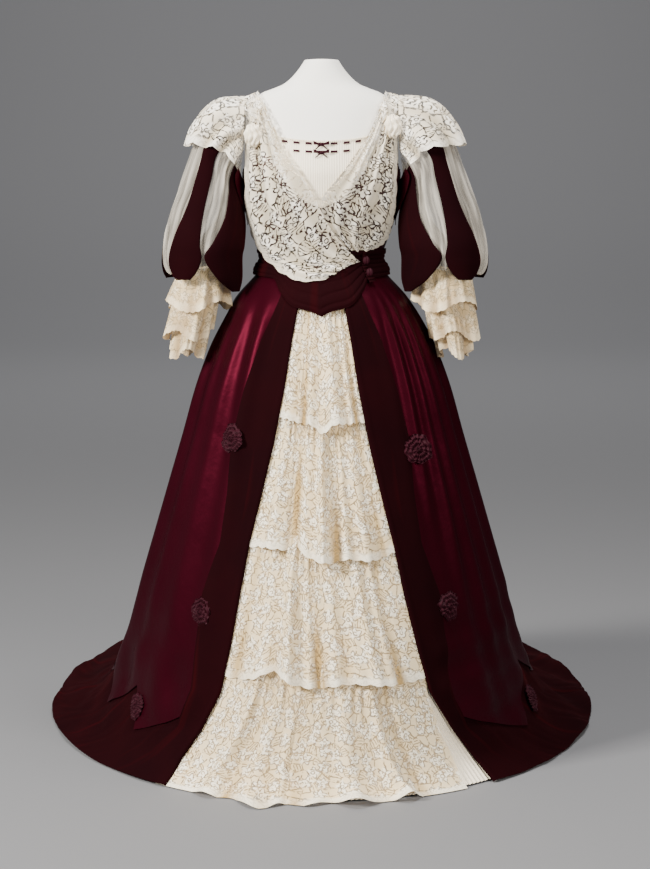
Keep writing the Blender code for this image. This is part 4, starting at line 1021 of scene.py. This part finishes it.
for number, (top, bottom, folds, depth, inset) in enumerate(zip(*TIERS.values()), 1):
    across, down = crossed(steps(0, 1, 280), steps(0, 1, 64))
    scallop = .0034 * np.abs(np.sin(across * np.pi * folds * 2.2)) - .004
    for tier, at, width, drop in zip(*TIER_DROPS.values()):
        if tier == number:
            scallop = scallop + drop * bell(across, at, width)
    rows = blend(float(level(top)), level(bottom - scallop if number < 4 else bottom), down)
    angle = between_edges(across, rows, "lace_right" if number == 4 else "open_right")
    inside = ramp(across, .10, .26) * (1 - ramp(across, .76, .92))
    wave = .5 - .5 * np.cos(across * 2 * np.pi * folds + 2 * np.sin(across * 7 + number))
    out = blend(-inset, -.0034, down) + depth * wave * down ** .7 * inside
    # Painted shade: darker at the top under the tier above, in the hollows of the folds, and unevenly across.
    painted_fold_shade = .55 * (1 - ramp(down, .0, .34)) * inside + .55 * (1 - wave) * down * inside
    for tier, at, slant, width, fold_depth in zip(*TIER_FOLDS.values()):
        if tier == number:
            near = bell(across, at + slant * (down - .5), width * (.6 + .4 * down))
            out = out + 3.8 * fold_depth * near * (.25 + .75 * down) * inside
            painted_fold_shade = painted_fold_shade - 170 * fold_depth * near * (.35 + .65 * down)
    gathers = .0022 * np.sin(across * 150 + 4 * waves(across, down, .5, number))
    out = out + gathers * (1 - ramp(down, .05, .35)) * inside
    flare = .007 * ramp(down, .5, 1) * inside if number < 4 else 0
    out = np.maximum(out + flare, -inset - .001 * (1 - down) + .003 * down)
    points = lifted(body, angle, rows, out)
    if number == 4:
        spread = .5 + .35 * np.sin(across * 19 + 1) + .30 * np.sin(across * 41)
        points[..., 1] -= (.034 * bell(across, .35, .25) + .012) * ramp(down, .78, 1) * spread * inside
    painted_fold_shade = painted_fold_shade * (.70 + .6 * waves(across * 4, down * .5, .4, 40 + number))
    cloth(f"lace flounce {number}", settle(points, .0025), lace, [f"lace_tier_{number}"],
          painted_fold_shade=painted_fold_shade)

# %% [markdown]
# Six rosettes of gathered ribbon sit along the velvet. Each is three rings of fine pleats, one inside
# the other.

# %% Rosettes
ROSETTES = table("x z", (-.172, .685), (.184, .664), (-.236, .345), (.252, .352), (-.375, .120), (.432, .105))
PLEATS = 17
for number, (x, z) in enumerate(zip(*ROSETTES.values()), 1):
    low, high = (np.array(corner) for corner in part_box(f"rosette_{number}"))
    row = level(z)
    angle = angle_at(x, row)
    base = skirt(angle, row)
    away = lifted(skirt, angle, row, 1.0) - base
    side_way = np.cross([0, 0, 1.0], away)
    side_way /= np.linalg.norm(side_way)
    up = np.cross(away, side_way)
    seat = np.dot((low + high) / 2 - base, away) - .0045
    theta, share = crossed(full_turn(312), np.linspace(0, 1, 25))
    ring = share * 3
    uneven = 1 + .07 * np.cos(theta * 3 + number) + .05 * np.cos(theta * 8 + 2 * number)
    radius = .029 * share ** .9 * uneven
    crimp = np.cos(theta * PLEATS + 5 * np.sin(theta * 2 + number) + np.floor(ring) * 1.6)
    lift = seat + .0016 + .0052 * (1 - share) + .0020 * crimp * np.sqrt(share) * (1.1 - .4 * share)
    lift = lift + .0020 * np.sin(ring * 2 * np.pi)
    points = (base + away * lift[..., None] + side_way * (radius * np.cos(theta))[..., None]
              + up * (radius * np.sin(theta))[..., None])
    mesh_piece(f"ribbon rosette {number}", points, ribbon, [f"rosette_{number}"], closed=True)

# %% [markdown]
# The photograph looks at the dress from straight in front and a little down. The floor is plain grey
# and rises into a wall far behind. Broad soft lamps stand left, right and above.

# %% Studio
CAMERA_AT = (.007, -4.5, 1.25)
TILT_DOWN = 7.3
LENS = 92
floor_material, tree, shader = start_material("studio grey", Roughness=.9)
shader.inputs["Base Color"].default_value = colour("757577")
profile = np.array([(-12.0, .0), (-5.0, .0), (3.0, .0), (8.0, .0), (10.5, .14), (12.2, .8), (13.2, 2.2),
                    (13.6, 4.5), (13.8, 9.0)])
profile = resample(profile[None, :, :], 60)[0]
x = np.linspace(-14, 14, 8)[:, None]
points = grid(x, profile[None, :, 0], profile[None, :, 1] - .0002)
mesh = bpy.data.meshes.new("studio floor")
across, down = points.shape[:2]
i, j = crossed(np.arange(across - 1), np.arange(down - 1))
corner = (i * down + j).reshape(-1)
mesh.from_pydata(points.reshape(-1, 3).tolist(), [],
                 np.stack([corner, corner + down, corner + down + 1, corner + 1], axis=-1).tolist())
mesh.shade_smooth()
mesh.materials.append(floor_material)
floor = bpy.data.objects.new("studio floor", mesh)
bpy.context.scene.collection.objects.link(floor)

for name, place, size, power, tone in (("key", (-3.8, -2.9, 3.0), 1.2, 640, "FFFCF6"),
                                       ("fill", (2.6, -3.8, 2.2), 1.8, 150, "FFFAF2"),
                                       ("top", (0.4, -.8, 4.4), 1.8, 190, "FFFFFF"),
                                       ("backdrop", (0.0, 7.0, 6.5), 4.0, 420, "FFFFFF")):
    lamp = bpy.data.lights.new(name, "AREA")
    lamp.size = size
    lamp.energy = power
    lamp.color = colour(tone)[:3]
    holder = bpy.data.objects.new(name, lamp)
    holder.location = place
    target = Vector((0, 12.5, 1.0)) if name == "backdrop" else Vector((0, .1, .7))
    holder.rotation_euler = (target - Vector(place)).to_track_quat("-Z", "Y").to_euler()
    bpy.context.scene.collection.objects.link(holder)

world = bpy.data.worlds.new("studio")
world.use_nodes = True
world.node_tree.nodes["Background"].inputs["Color"].default_value = colour("C9CACE")
world.node_tree.nodes["Background"].inputs["Strength"].default_value = .30
bpy.context.scene.world = world

camera = bpy.data.cameras.new("camera")
camera.sensor_fit = "VERTICAL"
camera.sensor_height = 36
camera.lens = LENS
eye = bpy.data.objects.new("camera", camera)
eye.location = CAMERA_AT
eye.rotation_euler = (math.radians(90 - TILT_DOWN), 0, 0)
bpy.context.scene.collection.objects.link(eye)
bpy.context.scene.camera = eye

# %% Finish
total = sum(len(o.data.polygons) * 2 for o in bpy.data.objects if o.type == "MESH" and "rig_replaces" in o)
print("triangles of the new pieces, about:", total)
